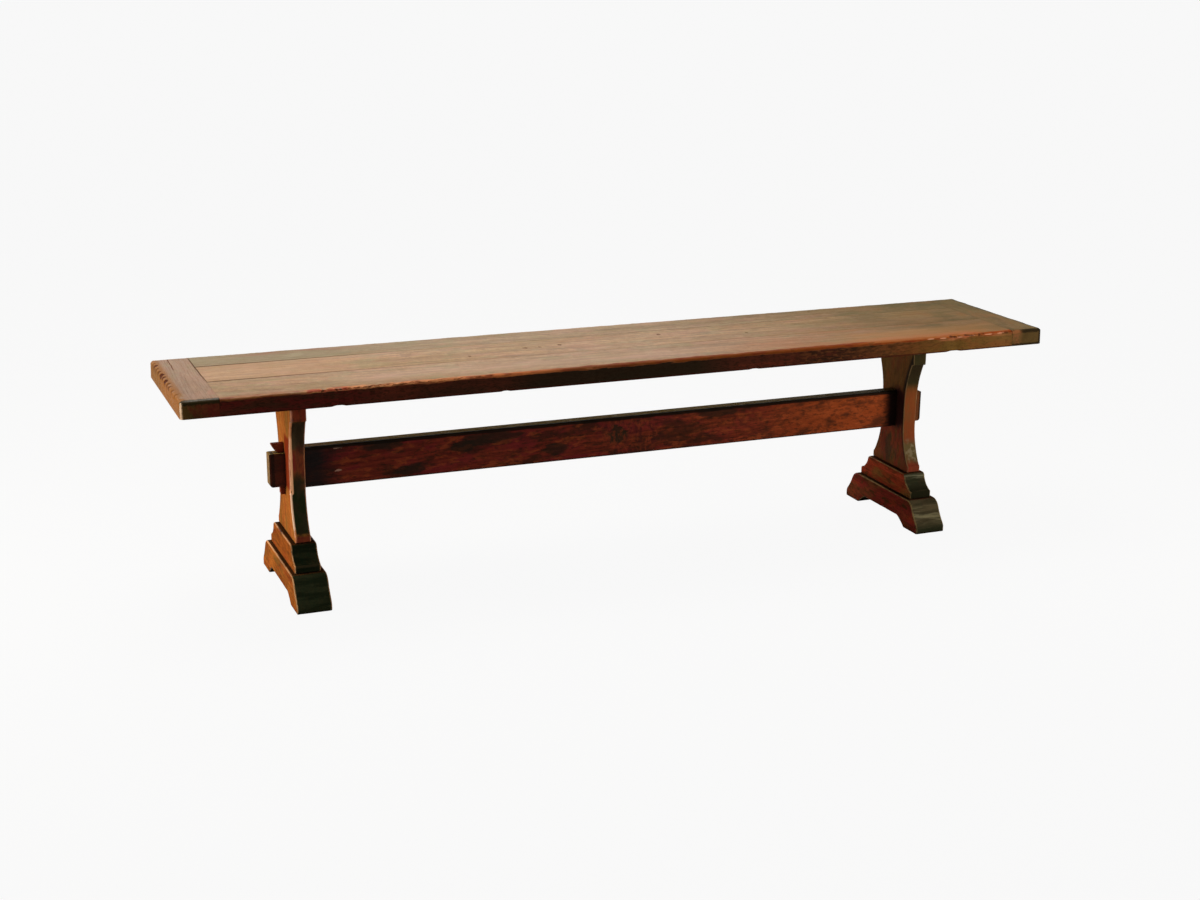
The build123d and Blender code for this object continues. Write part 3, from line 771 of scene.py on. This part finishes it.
def trestle_wear_and_shade(oak, orange, amount, shine):
    """Arrises rubbed pale and polished, painted shade on the undersides, and soiling and painted shade in the
    corners.
    """
    arris = oak.rounded("X")
    # Painted shade on the faces that look down
    oak.lay(oak.facing("Z", -1, 0.05, 0.45), (0.03, 0.018, 0.009), 0.75)
    oak.patch((22, 60, 60), 0.3, 0.55, orange, amount, arris)
    oak.gloss((arris, oak.lustre), shine)
    oak.darken_corners((0.02, 0.011, 0.006), 0.9, reach=0.022)


def left_leg_finish():
    """The left leg: orange on its lit side, black green in front with a red patch."""
    oak = OakFinish("left_leg_oak", "Z", (0.2, 0.13, 0.7), (0.64, 0.215, 0.046), (0.5, 0.165, 0.033),
        (0.17, 0.045, 0.012), ring_scale=22, figure=0.25, streak=0.38, pores=0.4)
    mottle(oak, 0.45, 0.35, 0.35)
    front = oak.facing("Y", -1, 0.25, 0.65)
    waver = maths(oak.tree, "MULTIPLY_ADD", oak.cloud((30, 40, 40), 0.3, 0.7), 0.03, -0.015)
    level = maths(oak.tree, "ADD", oak.parts["Z"], waver)
    leg_left_half = oak.fall("X", -leg_outer + 0.009, -leg_outer + 0.017)
    oak.lay((front, ramp(oak.tree, level, 0.282, 0.33), oak.span("Z", 0.2, 0.368, 0.003)),
        (0.125, 0.096, 0.052), 0.9)
    oak.lay((front, ramp(oak.tree, level, 0.222, 0.266, 1, 0), oak.span("Z", 0.137, 0.4, 0.003)),
        (0.011, 0.034, 0.014), 0.95)
    oak.patch((16, 26, 26), 0.42, 0.58, (0.06, 0.046, 0.026), 0.7, front, oak.without(leg_left_half))
    red = oak.both(front, ramp(oak.tree, level, 0.228, 0.27), ramp(oak.tree, level, 0.28, 0.325, 1, 0))
    oak.lay((red, leg_left_half), (0.38, 0.022, 0.022), 0.85)
    oak.lay(red, (0.26, 0.032, 0.034), 0.6)
    oak.lay((front, oak.span("Z", 0.372, 0.42, 0.003)), (0.3, 0.036, 0.026), 0.75)
    oak.patch((30, 60, 60), 0.5, 0.62, (0.05, 0.03, 0.018), 0.5, front)
    oak.lay((front, oak.span("Z", 0.1, 0.133, 0.003)), (0.32, 0.04, 0.028), 0.7)
    trestle_wear_and_shade(oak, (0.7, 0.24, 0.065), 0.85, 0.9)
    # The rubbed bevel: bare pale wood with a painted highlight, palest below the nick
    bevel = oak.both(oak.rounded("X"), oak.facing("Y", -1, 0.1, 0.3), oak.facing("X", -1, 0.1, 0.3),
        oak.span("Z", 0.145, 0.335, 0.006))
    oak.lay(bevel, (1, 0.5, 0.26), 0.9)
    oak.lay((bevel, oak.span("Z", 0.145, 0.214, 0.003)), (1, 0.7, 0.5), 0.85)
    # A painted shadow of the key on the outer side, beside the front arris
    oak.lay((oak.facing("X", -1, 0.75, 0.95), oak.span("Y", -0.06, -0.012, 0.004),
        oak.span("Z", 0.222, 0.332, 0.006)), (0.22, 0.022, 0.008), 0.88)
    return oak


def beside_curve(oak, reach):
    """A band beside the curved front arris of a leg, on the side faces."""
    inset = oak.parts["Y"]
    for way, curve_start, curve_width in leg_curves:
        past = maths(oak.tree, "SUBTRACT", oak.parts["Z"], curve_start)
        past = maths(oak.tree, "MAXIMUM", maths(oak.tree, "MULTIPLY", past, way), 0)
        inset = maths(oak.tree, "MULTIPLY_ADD", oak.both(past, past), 1 / curve_width, inset)
    return ramp(oak.tree, inset, 0.3 * reach + leg_front, reach + leg_front, 1, 0)


def right_leg_finish():
    """The right leg: olive brown above, redder below, lit along its front."""
    oak = OakFinish("right_leg_oak", "Z", (0.9, 0.13, 0), (0.31, 0.115, 0.034), (0.22, 0.078, 0.024),
        (0.07, 0.024, 0.01), ring_scale=22, figure=0.25, streak=0.5, pores=0.4)
    mottle(oak, 0.45, 0.5, 0.5)
    lower = oak.fall("Z", 0.2, 0.27)
    oak.lay((lower, oak.without(oak.cloud((10, 30, 30), 0.4, 0.6))), (0.22, 0.034, 0.022), 0.7)
    oak.patch((12, 34, 34), 0.5, 0.6, (0.33, 0.046, 0.026), 0.65, lower)
    oak.patch((15, 40, 40), 0.52, 0.62, (0.042, 0.042, 0.02), 0.65, lower)
    oak.patch((13, 30, 30), 0.51, 0.61, (0.24, 0.04, 0.022), 0.5, oak.without(lower))
    oak.lay(oak.without(lower), (0.25, 0.15, 0.042), 0.3)
    front = oak.facing("Y", -1, 0.25, 0.65)
    # Painted shade at the top of the front, under the head
    oak.lay((front, oak.span("Z", 0.315, 0.42, 0.012)), (0.042, 0.042, 0.018), 0.9)
    waist = oak.both(front, oak.span("Z", 0.19, 0.31, 0.015))
    oak.lay(waist, (0.34, 0.085, 0.026), 0.78)
    oak.patch((16, 40, 40), 0.48, 0.6, (0.17, 0.105, 0.035), 0.4, waist)
    # A painted highlight across the front, low on the leg
    pale = oak.both(front, oak.span("Z", 0.145, 0.187, 0.012))
    oak.lay(pale, (0.17, 0.135, 0.055), 0.8)
    oak.patch((50, 60, 60), 0.5, 0.6, (0.38, 0.31, 0.19), 0.6, pale)
    oak.lay((front, oak.span("Z", 0.1, 0.14, 0.006)), (0.28, 0.05, 0.028), 0.7)
    inner_side = oak.facing("X", -1, 0.7, 0.95)
    # A painted shadow of the stretcher on the inner side
    inner = oak.mark((leg_inner, -0.022, 0.262), (0.02, 0.036, 0.05), ragged=0.25)
    oak.lay((inner, inner_side), (0.034, 0.01, 0.014), 0.9)
    # Painted shade on the inner side beside the curved front arris
    oak.lay((inner_side, beside_curve(oak, 0.017), oak.span("Z", 0.3, 0.4, 0.012)), (0.016, 0.012, 0.008),
        0.9)
    oak.lay((inner_side, beside_curve(oak, 0.01), oak.span("Z", 0.14, 0.3, 0.012)), (0.03, 0.016, 0.01),
        0.7)
    trestle_wear_and_shade(oak, (0.42, 0.27, 0.12), 0.5, 0.2)
    return oak


def foot_finish(name, heart, pale, middle, end_tone, ledge_at, olive, dark):
    """A moulded foot or its upper tier, with the grain front to back and dark end grain."""
    oak = OakFinish(name, "Y", heart, pale, middle, (0.075, 0.022, 0.01), ring_scale=24, figure=0.28,
        streak=0.25 + 0.5 * dark, pores=0.4)
    mottle(oak, olive, 0.45, dark)
    ends = ramp(oak.tree, maths(oak.tree, "ABSOLUTE", oak.normal["Y"]), 0.2, 0.5)
    ledge = ramp(oak.tree, maths(oak.tree, "ABSOLUTE", oak.parts["Y"]), ledge_at - 0.004, ledge_at + 0.004)
    not_side = oak.without(ramp(oak.tree, maths(oak.tree, "ABSOLUTE", oak.normal["X"]), 0.3, 0.7))
    ends = maths(oak.tree, "MAXIMUM", ends, oak.both(ledge, not_side))
    oak.lay(ends, end_tone, 0.93)
    oak.patch((20, 12, 90), 0.42, 0.62, tuple(0.35 * c for c in end_tone), 0.6, ends)
    # Painted shade on the ledges that look up along the sides
    oak.lay((oak.facing("Z", 1, 0.6, 0.9), oak.without(ledge)), (0.055, 0.03, 0.012), 0.85)
    return oak


def step_light_and_shade(oak, node):
    """The light and shade on the front of an upper foot tier."""
    front = oak.facing("Y", -1, 0.2, 0.5)
    if node.endswith("left"):
        oak.lay((front, oak.span("Z", 0.0795, 0.0855, 0.0015)), (0.075, 0.06, 0.03), 0.7)
        return
    oak.patch((14, 20, 420), 0.4, 0.52, (0.27, 0.26, 0.17), 0.9, front,
        oak.without(oak.cloud((16, 8, 110), 0.42, 0.58)), oak.span("Z", 0.098, 0.115, 0.004))
    oak.lay((front, oak.span("Z", 0.06, 0.088, 0.005)), (0.012, 0.013, 0.006), 0.8)


def right_foot_highlight_and_streaks(oak):
    """A painted highlight band, the dark toe and the streaks on the front of the right foot."""
    front = oak.facing("Y", -1, 0.2, 0.5)
    # The painted highlight band
    oak.lay((front, oak.without(oak.cloud((16, 8, 110), 0.4, 0.6)), oak.span("Z", 0.026, 0.052, 0.009)),
        (0.34, 0.3, 0.17), 0.8)
    oak.lay((front, oak.span("Z", -0.02, 0.018, 0.012)), (0.022, 0.03, 0.015), 0.85)
    oak.patch((14, 30, 420), 0.48, 0.6, (0.035, 0.038, 0.02), 0.45, front)


def stretcher_finish():
    """The long rail, redder and more figured than the rest, with painted shade where it meets the legs."""
    oak = OakFinish("stretcher_oak", "X", (0.8, 0.03, -0.3), (0.45, 0.08, 0.03), (0.32, 0.046, 0.02),
        (0.045, 0.013, 0.008), ring_scale=34, figure=0.42, streak=0.5, pores=0.5, tilt=0.05)
    left_half = oak.fall("X", -0.2, 0.35)
    oak.lay(left_half, (0.17, 0.018, 0.02), 0.42)
    oak.patch((9, 30, 30), 0.48, 0.62, (0.27, 0.022, 0.034), 0.5, oak.fall("X", 0.1, 0.5))
    oak.lay(oak.rise("X", 0.28, 0.55), (0.62, 0.125, 0.026), 0.55)
    oak.patch((11, 34, 34), 0.5, 0.62, (0.035, 0.018, 0.01), 0.7)
    oak.patch((26, 70, 70), 0.52, 0.64, (0.55, 0.12, 0.035), 0.4)
    burl = oak.mark((0.03, stretcher_front, 0.262), (0.085, 0.1, 0.05), ragged=0.6, grain=(14, 20, 20))
    oak.patch((46, 26, 26), 0.44, 0.58, (0.05, 0.014, 0.014), 0.65, burl)
    oak.lay(oak.mark((0, stretcher_front, 0.262), (0.026, 0.02, 0.02), ragged=0.8, grain=(40, 60, 60)),
        (0.028, 0.026, 0.014), 0.8)
    for x, z, half_length in ((-0.52, 0.292, 0.05), (-0.28, 0.281, 0.065), (-0.35, 0.27, 0.03),
            (-0.14, 0.243, 0.03), (-0.46, 0.232, 0.035), (0.24, 0.29, 0.05)):
        oak.lay(oak.mark((x, stretcher_front, z), (half_length, 0.02, 0.013), ragged=0.9,
            grain=(22, 60, 90)), (0.026, 0.018, 0.012), 0.8)
    oak.patch((120, 60, 60), 0.5, 0.62, (0.4, 0.075, 0.03), 0.5, burl)
    oak.patch((60, 90, 110), 0.5, 0.62, (0.1, 0.028, 0.012), 0.5, oak.without(left_half))
    oak.patch((60, 160, 160), 0.54, 0.64, (0.03, 0.016, 0.008), 0.55)
    inside = oak.span("X", -leg_inner - 0.002, leg_inner + 0.002, 0.0005)
    # Painted shade at both ends, where the rail meets the legs
    oak.lay((oak.fall("X", -0.66, -0.59), inside), (0.012, 0.013, 0.013), 0.92)
    oak.lay((oak.rise("X", 0.65, 0.676), inside), (0.008, 0.005, 0.005), 0.97)
    for z, half_height in ((0.293, 0.002), (0.2455, 0.0026)):
        oak.lay(oak.mark((-0.614, stretcher_front, z), (0.008, 0.01, half_height), ragged=1.5,
            grain=(170, 170, 300)), (0.62, 0.36, 0.27), 0.8)
    # A painted sheen on the top face, fading away towards the right
    up = oak.facing("Z", 1)
    oak.lay(up, (0.6, 0.46, 0.14), 0.9)
    oak.lay((up, oak.rise("X", 0.15, 0.62)), (0.085, 0.07, 0.026), 0.8)
    oak.lay(oak.worn_line("Y", stretcher_front, "Z", stretcher_top, 0.0068, 0.3), (0.008, 0.005, 0.003), 0.96)
    oak.lay(oak.worn_line("Y", stretcher_front, "Z", stretcher_low, 0.0035, 0.5), (0.04, 0.016, 0.01), 0.7)
    tenon_tones(oak)
    # Soiling and painted shade in the corners
    oak.darken_corners((0.015, 0.009, 0.006), 0.9, reach=0.018)
    oak.gloss((oak.lustre, oak.facing("Y", -1)), 0.05)
    return oak


def tenon_tones(oak):
    """Dark tones on the tenons outside the legs, with paler end grain."""
    tenon = oak.span("X", -0.8, -tenon_start, 0.001)
    oak.lay((tenon, oak.facing("Y", -1)), (0.06, 0.024, 0.014), 0.8)
    oak.lay((tenon, oak.facing("Y", -1), oak.span("Z", 0.232, 0.252, 0.006)), (0.15, 0.036, 0.02), 0.6)
    oak.lay((tenon, oak.span("X", -0.751, -0.744, 0.0012)), (0.012, 0.008, 0.006), 0.7)
    right_tenon = oak.span("X", tenon_start, 0.8, 0.001)
    oak.lay(right_tenon, (0.17, 0.062, 0.022), 0.85)
    oak.lay((right_tenon, oak.span("X", 0.7505, 0.8, 0.0015), oak.without(oak.facing("X", 1))),
        (0.024, 0.012, 0.007), 0.9)
    oak.lay((right_tenon, oak.facing("X", 1, 0.4, 0.8)), (0.19, 0.105, 0.042), 0.85)
    end = oak.facing("X", -1, 0.4, 0.8)
    oak.lay(end, (0.3, 0.19, 0.07), 0.85)
    oak.patch((60, 90, 90), 0.45, 0.6, (0.12, 0.07, 0.025), 0.6, end)


def key_finish(side, heart):
    """A tusk key."""
    oak = OakFinish(f"{side}_key_oak", "Z", heart, (0.34, 0.08, 0.028), (0.25, 0.052, 0.02),
        (0.05, 0.014, 0.008), ring_scale=40, figure=0.3, pores=0.4)
    oak.patch((18, 50, 50), 0.5, 0.66, (0.05, 0.03, 0.014), 0.6)
    if side == "right":
        oak.lay(oak.span("X", 0, 0.8), (0.06, 0.032, 0.02), 0.8)
        oak.lay(oak.span("X", 0.738, 0.8, 0.004), (0.02, 0.01, 0.007), 0.85)
    else:
        oak.lay(oak.rise("X", -0.748, -0.73), (0.25, 0.032, 0.017), 0.5)
    oak.lay(oak.rounded("Y"), (0.34, 0.1, 0.04), 0.15 if side == "right" else 0.5)
    oak.gloss(oak.rounded("Y"), 0.25)
    # Soiling and painted shade in the corners
    oak.darken_corners((0.02, 0.01, 0.006), 0.8, reach=0.012)
    return oak


def bearer_finish(side, heart):
    """A bearer under the seat, dull and dark."""
    oak = OakFinish(f"{side}_bearer_oak", "Y", heart, (0.15, 0.06, 0.025), (0.11, 0.045, 0.02),
        (0.045, 0.02, 0.01), figure=0.35)
    # Soiling and painted shade in the corners
    oak.darken_corners((0.02, 0.012, 0.007), 0.7, reach=0.02)
    return oak


def bare_oak_finish():
    """Pegs and tongues, cut from cleaner oak."""
    return OakFinish("bare_oak", "X", (0.1, 0.2, -0.4), (0.34, 0.2, 0.1), (0.27, 0.15, 0.07),
        (0.12, 0.06, 0.03), ring_scale=30, figure=0.3)


def screw_steel():
    """Dull zinc on the screws, tarnished in spots."""
    material = bpy.data.materials.new("screw_steel")
    material.use_nodes = True
    tree = material.node_tree
    place = shader_node(tree, "TexCoord").outputs["Object"]
    spots = cloud(tree, place, (900, 900, 900))
    tarnish = cloud(tree, place, (160, 160, 160))
    colour = blend(tree, ramp(tree, tarnish, 0.4, 0.7), (0.4, 0.39, 0.36, 1), (0.16, 0.13, 0.1, 1))
    shader = tree.nodes["Principled BSDF"].inputs
    feed(tree, shader["Base Color"], colour)
    feed(tree, shader["Roughness"], ramp(tree, spots, 0.3, 0.7, 0.35, 0.6))
    shader["Metallic"].default_value = 1
    return material


def dress(obj, material):
    """Give an object one material."""
    obj.data.materials.clear()
    obj.data.materials.append(material)


# Modelling

def choose_only(piece):
    """Select one object and make it the active one."""
    deselect_all()
    piece.select_set(True)
    bpy.context.view_layer.objects.active = piece


def apply_modifier(piece, modifier):
    """Apply a modifier to its piece."""
    choose_only(piece)
    bpy.ops.object.modifier_apply(modifier=modifier.name)


def chosen_edges(board, choose):
    """Select the edges that a test picks, with nothing else."""
    bpy.ops.object.mode_set(mode="OBJECT")
    bpy.context.tool_settings.mesh_select_mode = (False, True, False)
    mesh = board.data
    for face in mesh.polygons:
        face.select = False
    for vertex in mesh.vertices:
        vertex.select = False
    for edge in mesh.edges:
        first, second = (mesh.vertices[i].co for i in edge.vertices)
        edge.select = choose(first, second)
    bpy.ops.object.mode_set(mode="EDIT")
    bpy.ops.mesh.select_mode(type="EDGE")


def sawn_board(name, low, high):
    """A board with sharp arrises between two corners."""
    deselect_all()
    bpy.ops.mesh.primitive_cube_add(size=1, location=(low + high) / 2)
    board = bpy.context.object
    board.name = board.data.name = name
    board.scale = high - low
    bpy.ops.object.transform_apply(location=True, rotation=True, scale=True)
    return board


def divide(board, axis, length, cuts):
    """Cut the edges of a length that run along an axis into equal parts."""
    chosen_edges(board, lambda a, b: abs((a - b)[axis]) > 0.9 * length)
    bpy.ops.mesh.subdivide(number_cuts=cuts)
    bpy.ops.object.mode_set(mode="OBJECT")


def slice_up(board, axis, low, high, step):
    """Cut a board right through at even steps along an axis."""
    normal = [0, 0, 0]
    normal[axis] = 1
    choose_only(board)
    bpy.ops.object.mode_set(mode="EDIT")
    number = int((high - low) / step)
    for i in range(1, number):
        place = [0, 0, 0]
        place[axis] = low + (high - low) * i / number
        bpy.ops.mesh.select_all(action="SELECT")
        bpy.ops.mesh.bisect(plane_co=place, plane_no=normal)
    bpy.ops.object.mode_set(mode="OBJECT")


def soften(board, choose, width, segments):
    """Round the arrises that a test picks."""
    chosen_edges(board, choose)
    bpy.ops.mesh.bevel(offset=width, offset_type="OFFSET", segments=segments, profile=0.5)
    bpy.ops.object.mode_set(mode="OBJECT")


def wear_away(piece, name, weight, depth, grain_size=None):
    """Sink a surface by a weight of the place, unevenly where a grain size is given."""
    group = piece.vertex_groups.new(name=name)
    for vertex in piece.data.vertices:
        value = weight(vertex.co)
        if value > 0.001:
            group.add([vertex.index], min(value, 1), "REPLACE")
    modifier = piece.modifiers.new(name, "DISPLACE")
    modifier.vertex_group = name
    if grain_size:
        pattern = bpy.data.textures.new(f"{piece.name}_{name}", "CLOUDS")
        pattern.noise_scale = grain_size
        pattern.noise_depth = 3
        modifier.texture = pattern
        modifier.texture_coords = "LOCAL"
    modifier.direction = "NORMAL"
    modifier.mid_level = 0
    modifier.strength = -depth
    apply_modifier(piece, modifier)


def rub_arris(board, off_arris):
    """Rub an arris down, in broad and fine hollows, by how far a place lies off it."""
    def on_arris(place):
        return 1 - off_arris(place) / 0.01
    wear_away(board, "arris", on_arris, depth=0.0026, grain_size=0.03)
    wear_away(board, "arris_fine", on_arris, depth=0.0012, grain_size=0.006)


def stand_for(piece, node, material, angle=40):
    """Smooth a piece, dress it and let it stand for its CAD node."""
    choose_only(piece)
    bpy.ops.object.shade_smooth_by_angle(angle=math.radians(angle))
    dress(piece, material)
    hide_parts(node)
    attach(piece, "bench")


def chip_weight(chips, along, distance, reach):
    """How deep the chips in a table are at a place along an arris and off it."""
    depth = 0
    for centre, half_length, share in chips:
        span = 1 - abs(along - centre) / half_length
        if span > 0:
            depth = max(depth, share * min(1, span * 1.5))
    return depth * max(0, 1 - distance / reach)


# Chips in the front arris: place along the seat, half length and share of the full depth
front_chips = ((-0.676, 0.008, 0.9), (-0.644, 0.01, 1), (-0.625, 0.005, 0.4), (-0.588, 0.008, 0.5),
    (-0.573, 0.006, 0.5), (-0.531, 0.011, 0.5), (-0.504, 0.006, 0.3), (-0.458, 0.009, 0.3),
    (-0.41, 0.006, 0.3), (-0.12, 0.006, 0.3), (0.33, 0.008, 0.35), (0.52, 0.01, 0.4), (0.735, 0.016, 0.9),
    (0.786, 0.024, 0.8), (0.862, 0.016, 0.6))
# Chips in the front plank's lower arris, given the same way
low_chips = ((-0.648, 0.014, 1), (-0.31, 0.01, 0.6), (0.24, 0.012, 0.6), (0.726, 0.018, 1))
# Chips in the left end's arris: place across the seat, half length and share of the depth
left_chips = ((0.149, 0.006, 0.4), (0.131, 0.011, 0.8), (0.104, 0.007, 0.5), (0.079, 0.008, 0.6),
    (0.048, 0.015, 1), (0.026, 0.008, 0.8), (-0.004, 0.013, 1), (-0.031, 0.007, 0.5), (-0.052, 0.008, 0.6),
    (-0.083, 0.006, 0.4), (-0.12, 0.005, 0.3))


def worn_plank(node, y_from, y_to, front_open, back_open):
    """A plank whose open long arrises are rounded and worn."""
    low = Vector((joint_left, y_from, seat_low + peg_stand_off))
    high = Vector((joint_right, y_to, seat_top))
    plank = sawn_board(f"{node}_worn", low, high)
    divide(plank, 1, high.y - low.y, cuts=9)
    for y, is_open in ((low.y, front_open), (high.y, back_open)):
        def at_top(a, b):
            return max(abs(a.y - y), abs(b.y - y)) < near and min(a.z, b.z) > high.z - near

        def at_bottom(a, b):
            return max(abs(a.y - y), abs(b.y - y)) < near and max(a.z, b.z) < low.z + near
        if is_open:
            soften(plank, at_top, worn_round, segments=6)
            soften(plank, at_bottom, lower_round, segments=2)
        else:
            soften(plank, at_top, joint_round, segments=1)
    divide(plank, 0, high.x - low.x, cuts=29)
    divide(plank, 0, (high.x - low.x) / 30, cuts=19)
    for y, is_open in ((low.y, front_open), (high.y, back_open)):
        if is_open:
            rub_arris(plank, lambda place: math.hypot(place.y - y, place.z - high.z))
    return plank


def worn_board_end(node, chips):
    """A breadboard end whose outer arrises and corners are rounded and worn."""
    low = Vector((joint_right, seat_front, seat_low + peg_stand_off))
    high = Vector((seat_right, seat_back, seat_top))
    outer_x, inner_x, skew = (high.x, low.x, out_of_square)
    if node.endswith("left"):
        low.x, high.x = (left_end, joint_left)
        outer_x, inner_x, skew = (low.x, high.x, 0)
    board = sawn_board(f"{node}_worn", low, high)
    if skew:
        chosen_edges(board, lambda a, b: min(a.x, b.x) > high.x - near and min(a.y, b.y) > high.y - near)
        bpy.ops.transform.translate(value=(-skew, 0, 0))
        bpy.ops.object.mode_set(mode="OBJECT")

    def off_joint(a, b):
        return max(abs(a.x - inner_x), abs(b.x - inner_x)) > near
    soften(board, lambda a, b: abs(a.z - b.z) > 0.02
        and max(abs(a.x - outer_x), abs(b.x - outer_x)) < skew + near, corner_round, segments=6)
    soften(board, lambda a, b: min(a.z, b.z) > high.z - near and off_joint(a, b), worn_round, segments=6)
    soften(board, lambda a, b: max(a.z, b.z) < low.z + near and off_joint(a, b), lower_round, segments=2)
    slice_up(board, 1, low.y, high.y, step=0.003)
    slice_up(board, 0, low.x, high.x, step=0.004)

    def off_rim(place):
        end_x = outer_x - skew * (place.y - low.y) / (high.y - low.y)
        across = min(abs(place.x - end_x), abs(place.y - low.y), abs(place.y - high.y))
        return math.hypot(across, place.z - high.z)
    rub_arris(board, off_rim)
    if chips:
        wear_away(board, "chips", lambda p: chip_weight(
            chips, p.y, math.hypot(p.x - outer_x, p.z - high.z), reach=0.012), depth=0.0017)
    return board


def worn_copy(node):
    """A fine copy of a CAD node with its arrises rubbed round."""
    piece = bpy.data.objects.new(f"{node}_worn", nodes[node].data.copy())
    bpy.context.scene.collection.objects.link(piece)
    choose_only(piece)
    bpy.ops.object.mode_set(mode="EDIT")
    bpy.ops.mesh.select_all(action="SELECT")
    bpy.ops.mesh.remove_doubles(threshold=1e-05)
    bpy.ops.mesh.normals_make_consistent(inside=False)
    bpy.ops.object.mode_set(mode="OBJECT")
    remesh = piece.modifiers.new("remesh", "REMESH")
    remesh.mode = "VOXEL"
    remesh.voxel_size = 0.0016
    apply_modifier(piece, remesh)
    smooth = piece.modifiers.new("smooth", "SMOOTH")
    smooth.factor = 0.5
    smooth.iterations = 4
    apply_modifier(piece, smooth)
    return piece


def leg_level(place):
    """The level of a place up a leg, in whole steps."""
    return round(place.z / 0.002)


def leg_outline(piece, outer_x):
    """The front edge of a leg's outer face, level by level."""
    levels = {}
    for vertex in piece.data.vertices:
        if abs(vertex.co.x - outer_x) < 0.02:
            level = leg_level(vertex.co)
            levels[level] = min(levels.get(level, 1), vertex.co.y)
    return levels


def wear_left_leg(leg):
    """The wide rubbed bevel on the left leg's outer front arris, with its nick."""
    outer_x = -leg_outer
    levels = leg_outline(leg, outer_x)

    def worn(place):
        edge = levels.get(leg_level(place))
        if edge is None or not 0.122 < place.z < 0.395:
            return 0
        share = min(1, (0.345 - place.z) / 0.05)
        reach, depth = (0.005 + 0.0025 * share, 0.35 + 0.5 * share)
        if place.z <= 0.214:
            reach, depth = (0.0045, 0.3)
        elif place.z >= 0.345:
            reach, depth = (0.005, 0.35)
        return depth * (1 - math.hypot(place.x - outer_x, place.y - edge) / reach)

    def nick(place):
        edge = levels.get(leg_level(place), 0)
        return 1 - math.hypot(place.x - outer_x, place.y - edge, place.z - 0.2185) / 0.006
    wear_away(leg, "rubbed_bevel", worn, depth=0.0042)
    wear_away(leg, "nick", nick, depth=0.0025)


def everywhere(place):
    """The same weight at every place."""
    return 1


add_camera()
add_lamps()
add_world()
add_floor()

# The seat
front_plank = worn_plank("seat_plank_front", seat_front, front_joint, True, False)
for name, chips, height, reach, depth in (("chips", front_chips, seat_top, 0.013, 0.0046),
        ("low_chips", low_chips, seat_low, 0.01, 0.0026)):
    wear_away(front_plank, name,
        lambda p: chip_weight(chips, p.x, math.hypot(p.y - seat_front, p.z - height), reach), depth)
stand_for(front_plank, "seat_plank_front", front_plank_finish().close(relief=0.0003))
middle_plank = worn_plank("seat_plank_middle", front_joint, back_joint, False, False)
stand_for(middle_plank, "seat_plank_middle", middle_plank_finish().close(relief=0.0003))
back_plank = worn_plank("seat_plank_back", back_joint, seat_back, False, True)
stand_for(back_plank, "seat_plank_back", back_plank_finish().close(relief=0.0003))
for node, chips, board_finish in (("breadboard_end_left", left_chips, left_board_finish),
        ("breadboard_end_right", (), right_board_finish)):
    stand_for(worn_board_end(node, chips), node, board_finish().close(relief=0.0003))

# The trestles
left_leg = worn_copy("leg_left")
wear_left_leg(left_leg)
wear_away(left_leg, "waver", everywhere, depth=0.0006, grain_size=0.03)
stand_for(left_leg, "leg_left", left_leg_finish().close(specular=0), angle=60)
right_leg = worn_copy("leg_right")
wear_away(right_leg, "waver", everywhere, depth=0.0006, grain_size=0.03)
stand_for(right_leg, "leg_right", right_leg_finish().close(), angle=60)

# Tones of the feet: pale, middle and end grain, where the ledge ends, and the olive and dark shares
foot_tones = {
    "foot_step_left": ((0.52, 0.145, 0.026), (0.4, 0.105, 0.018), (0.012, 0.032, 0.017), 0.079, 0.45, 0.45),
    "foot_left": ((0.6, 0.185, 0.034), (0.46, 0.13, 0.023), (0.028, 0.054, 0.028), 0.116, 0.45, 0.45),
    "foot_step_right": ((0.58, 0.085, 0.036), (0.42, 0.055, 0.025), (0.046, 0.056, 0.03), 0.079, 0.6, 0.65),
    "foot_right": ((0.34, 0.04, 0.03), (0.24, 0.026, 0.021), (0.128, 0.108, 0.058), 0.116, 0.22, 0.8)}
for number, (node, tones) in enumerate(foot_tones.items()):
    foot = worn_copy(node)
    wear_away(foot, "waver", everywhere, depth=0.0007, grain_size=0.03)
    oak = foot_finish(f"{node}_oak", (0.6 + 0.7 * number, 0.78, -0.02), *tones)
    if "step" in node:
        step_light_and_shade(oak, node)
    elif node == "foot_right":
        right_foot_highlight_and_streaks(oak)
    orange, shine = ((0.9, 0.46, 0.2), 0.3) if node.endswith("left") else ((0.42, 0.27, 0.11), 0.15)
    trestle_wear_and_shade(oak, orange, 0.75, shine)
    stand_for(foot, node, oak.close(specular=0), angle=60)

# The pieces that keep the CAD's own meshes
for side, shift in (("left", 0), ("right", 0.7)):
    dress(nodes[f"key_{side}"], key_finish(side, (0.5 + shift, 0.02, 0.7)).close())
    dress(nodes[f"bearer_{side}"], bearer_finish(side, (0.9 + shift, 0.75, -0.36)).close())
dress(nodes["stretcher"], stretcher_finish().close())
bare_oak = bare_oak_finish().close()
for node in ("seat_tongue_front", "seat_tongue_back", "breadboard_pegs"):
    dress(nodes[node], bare_oak)
steel = screw_steel()
for node in ("seat_screws", "foot_screws"):
    dress(nodes[node], steel)

scene = bpy.context.scene
scene.view_settings.view_transform = "Standard"
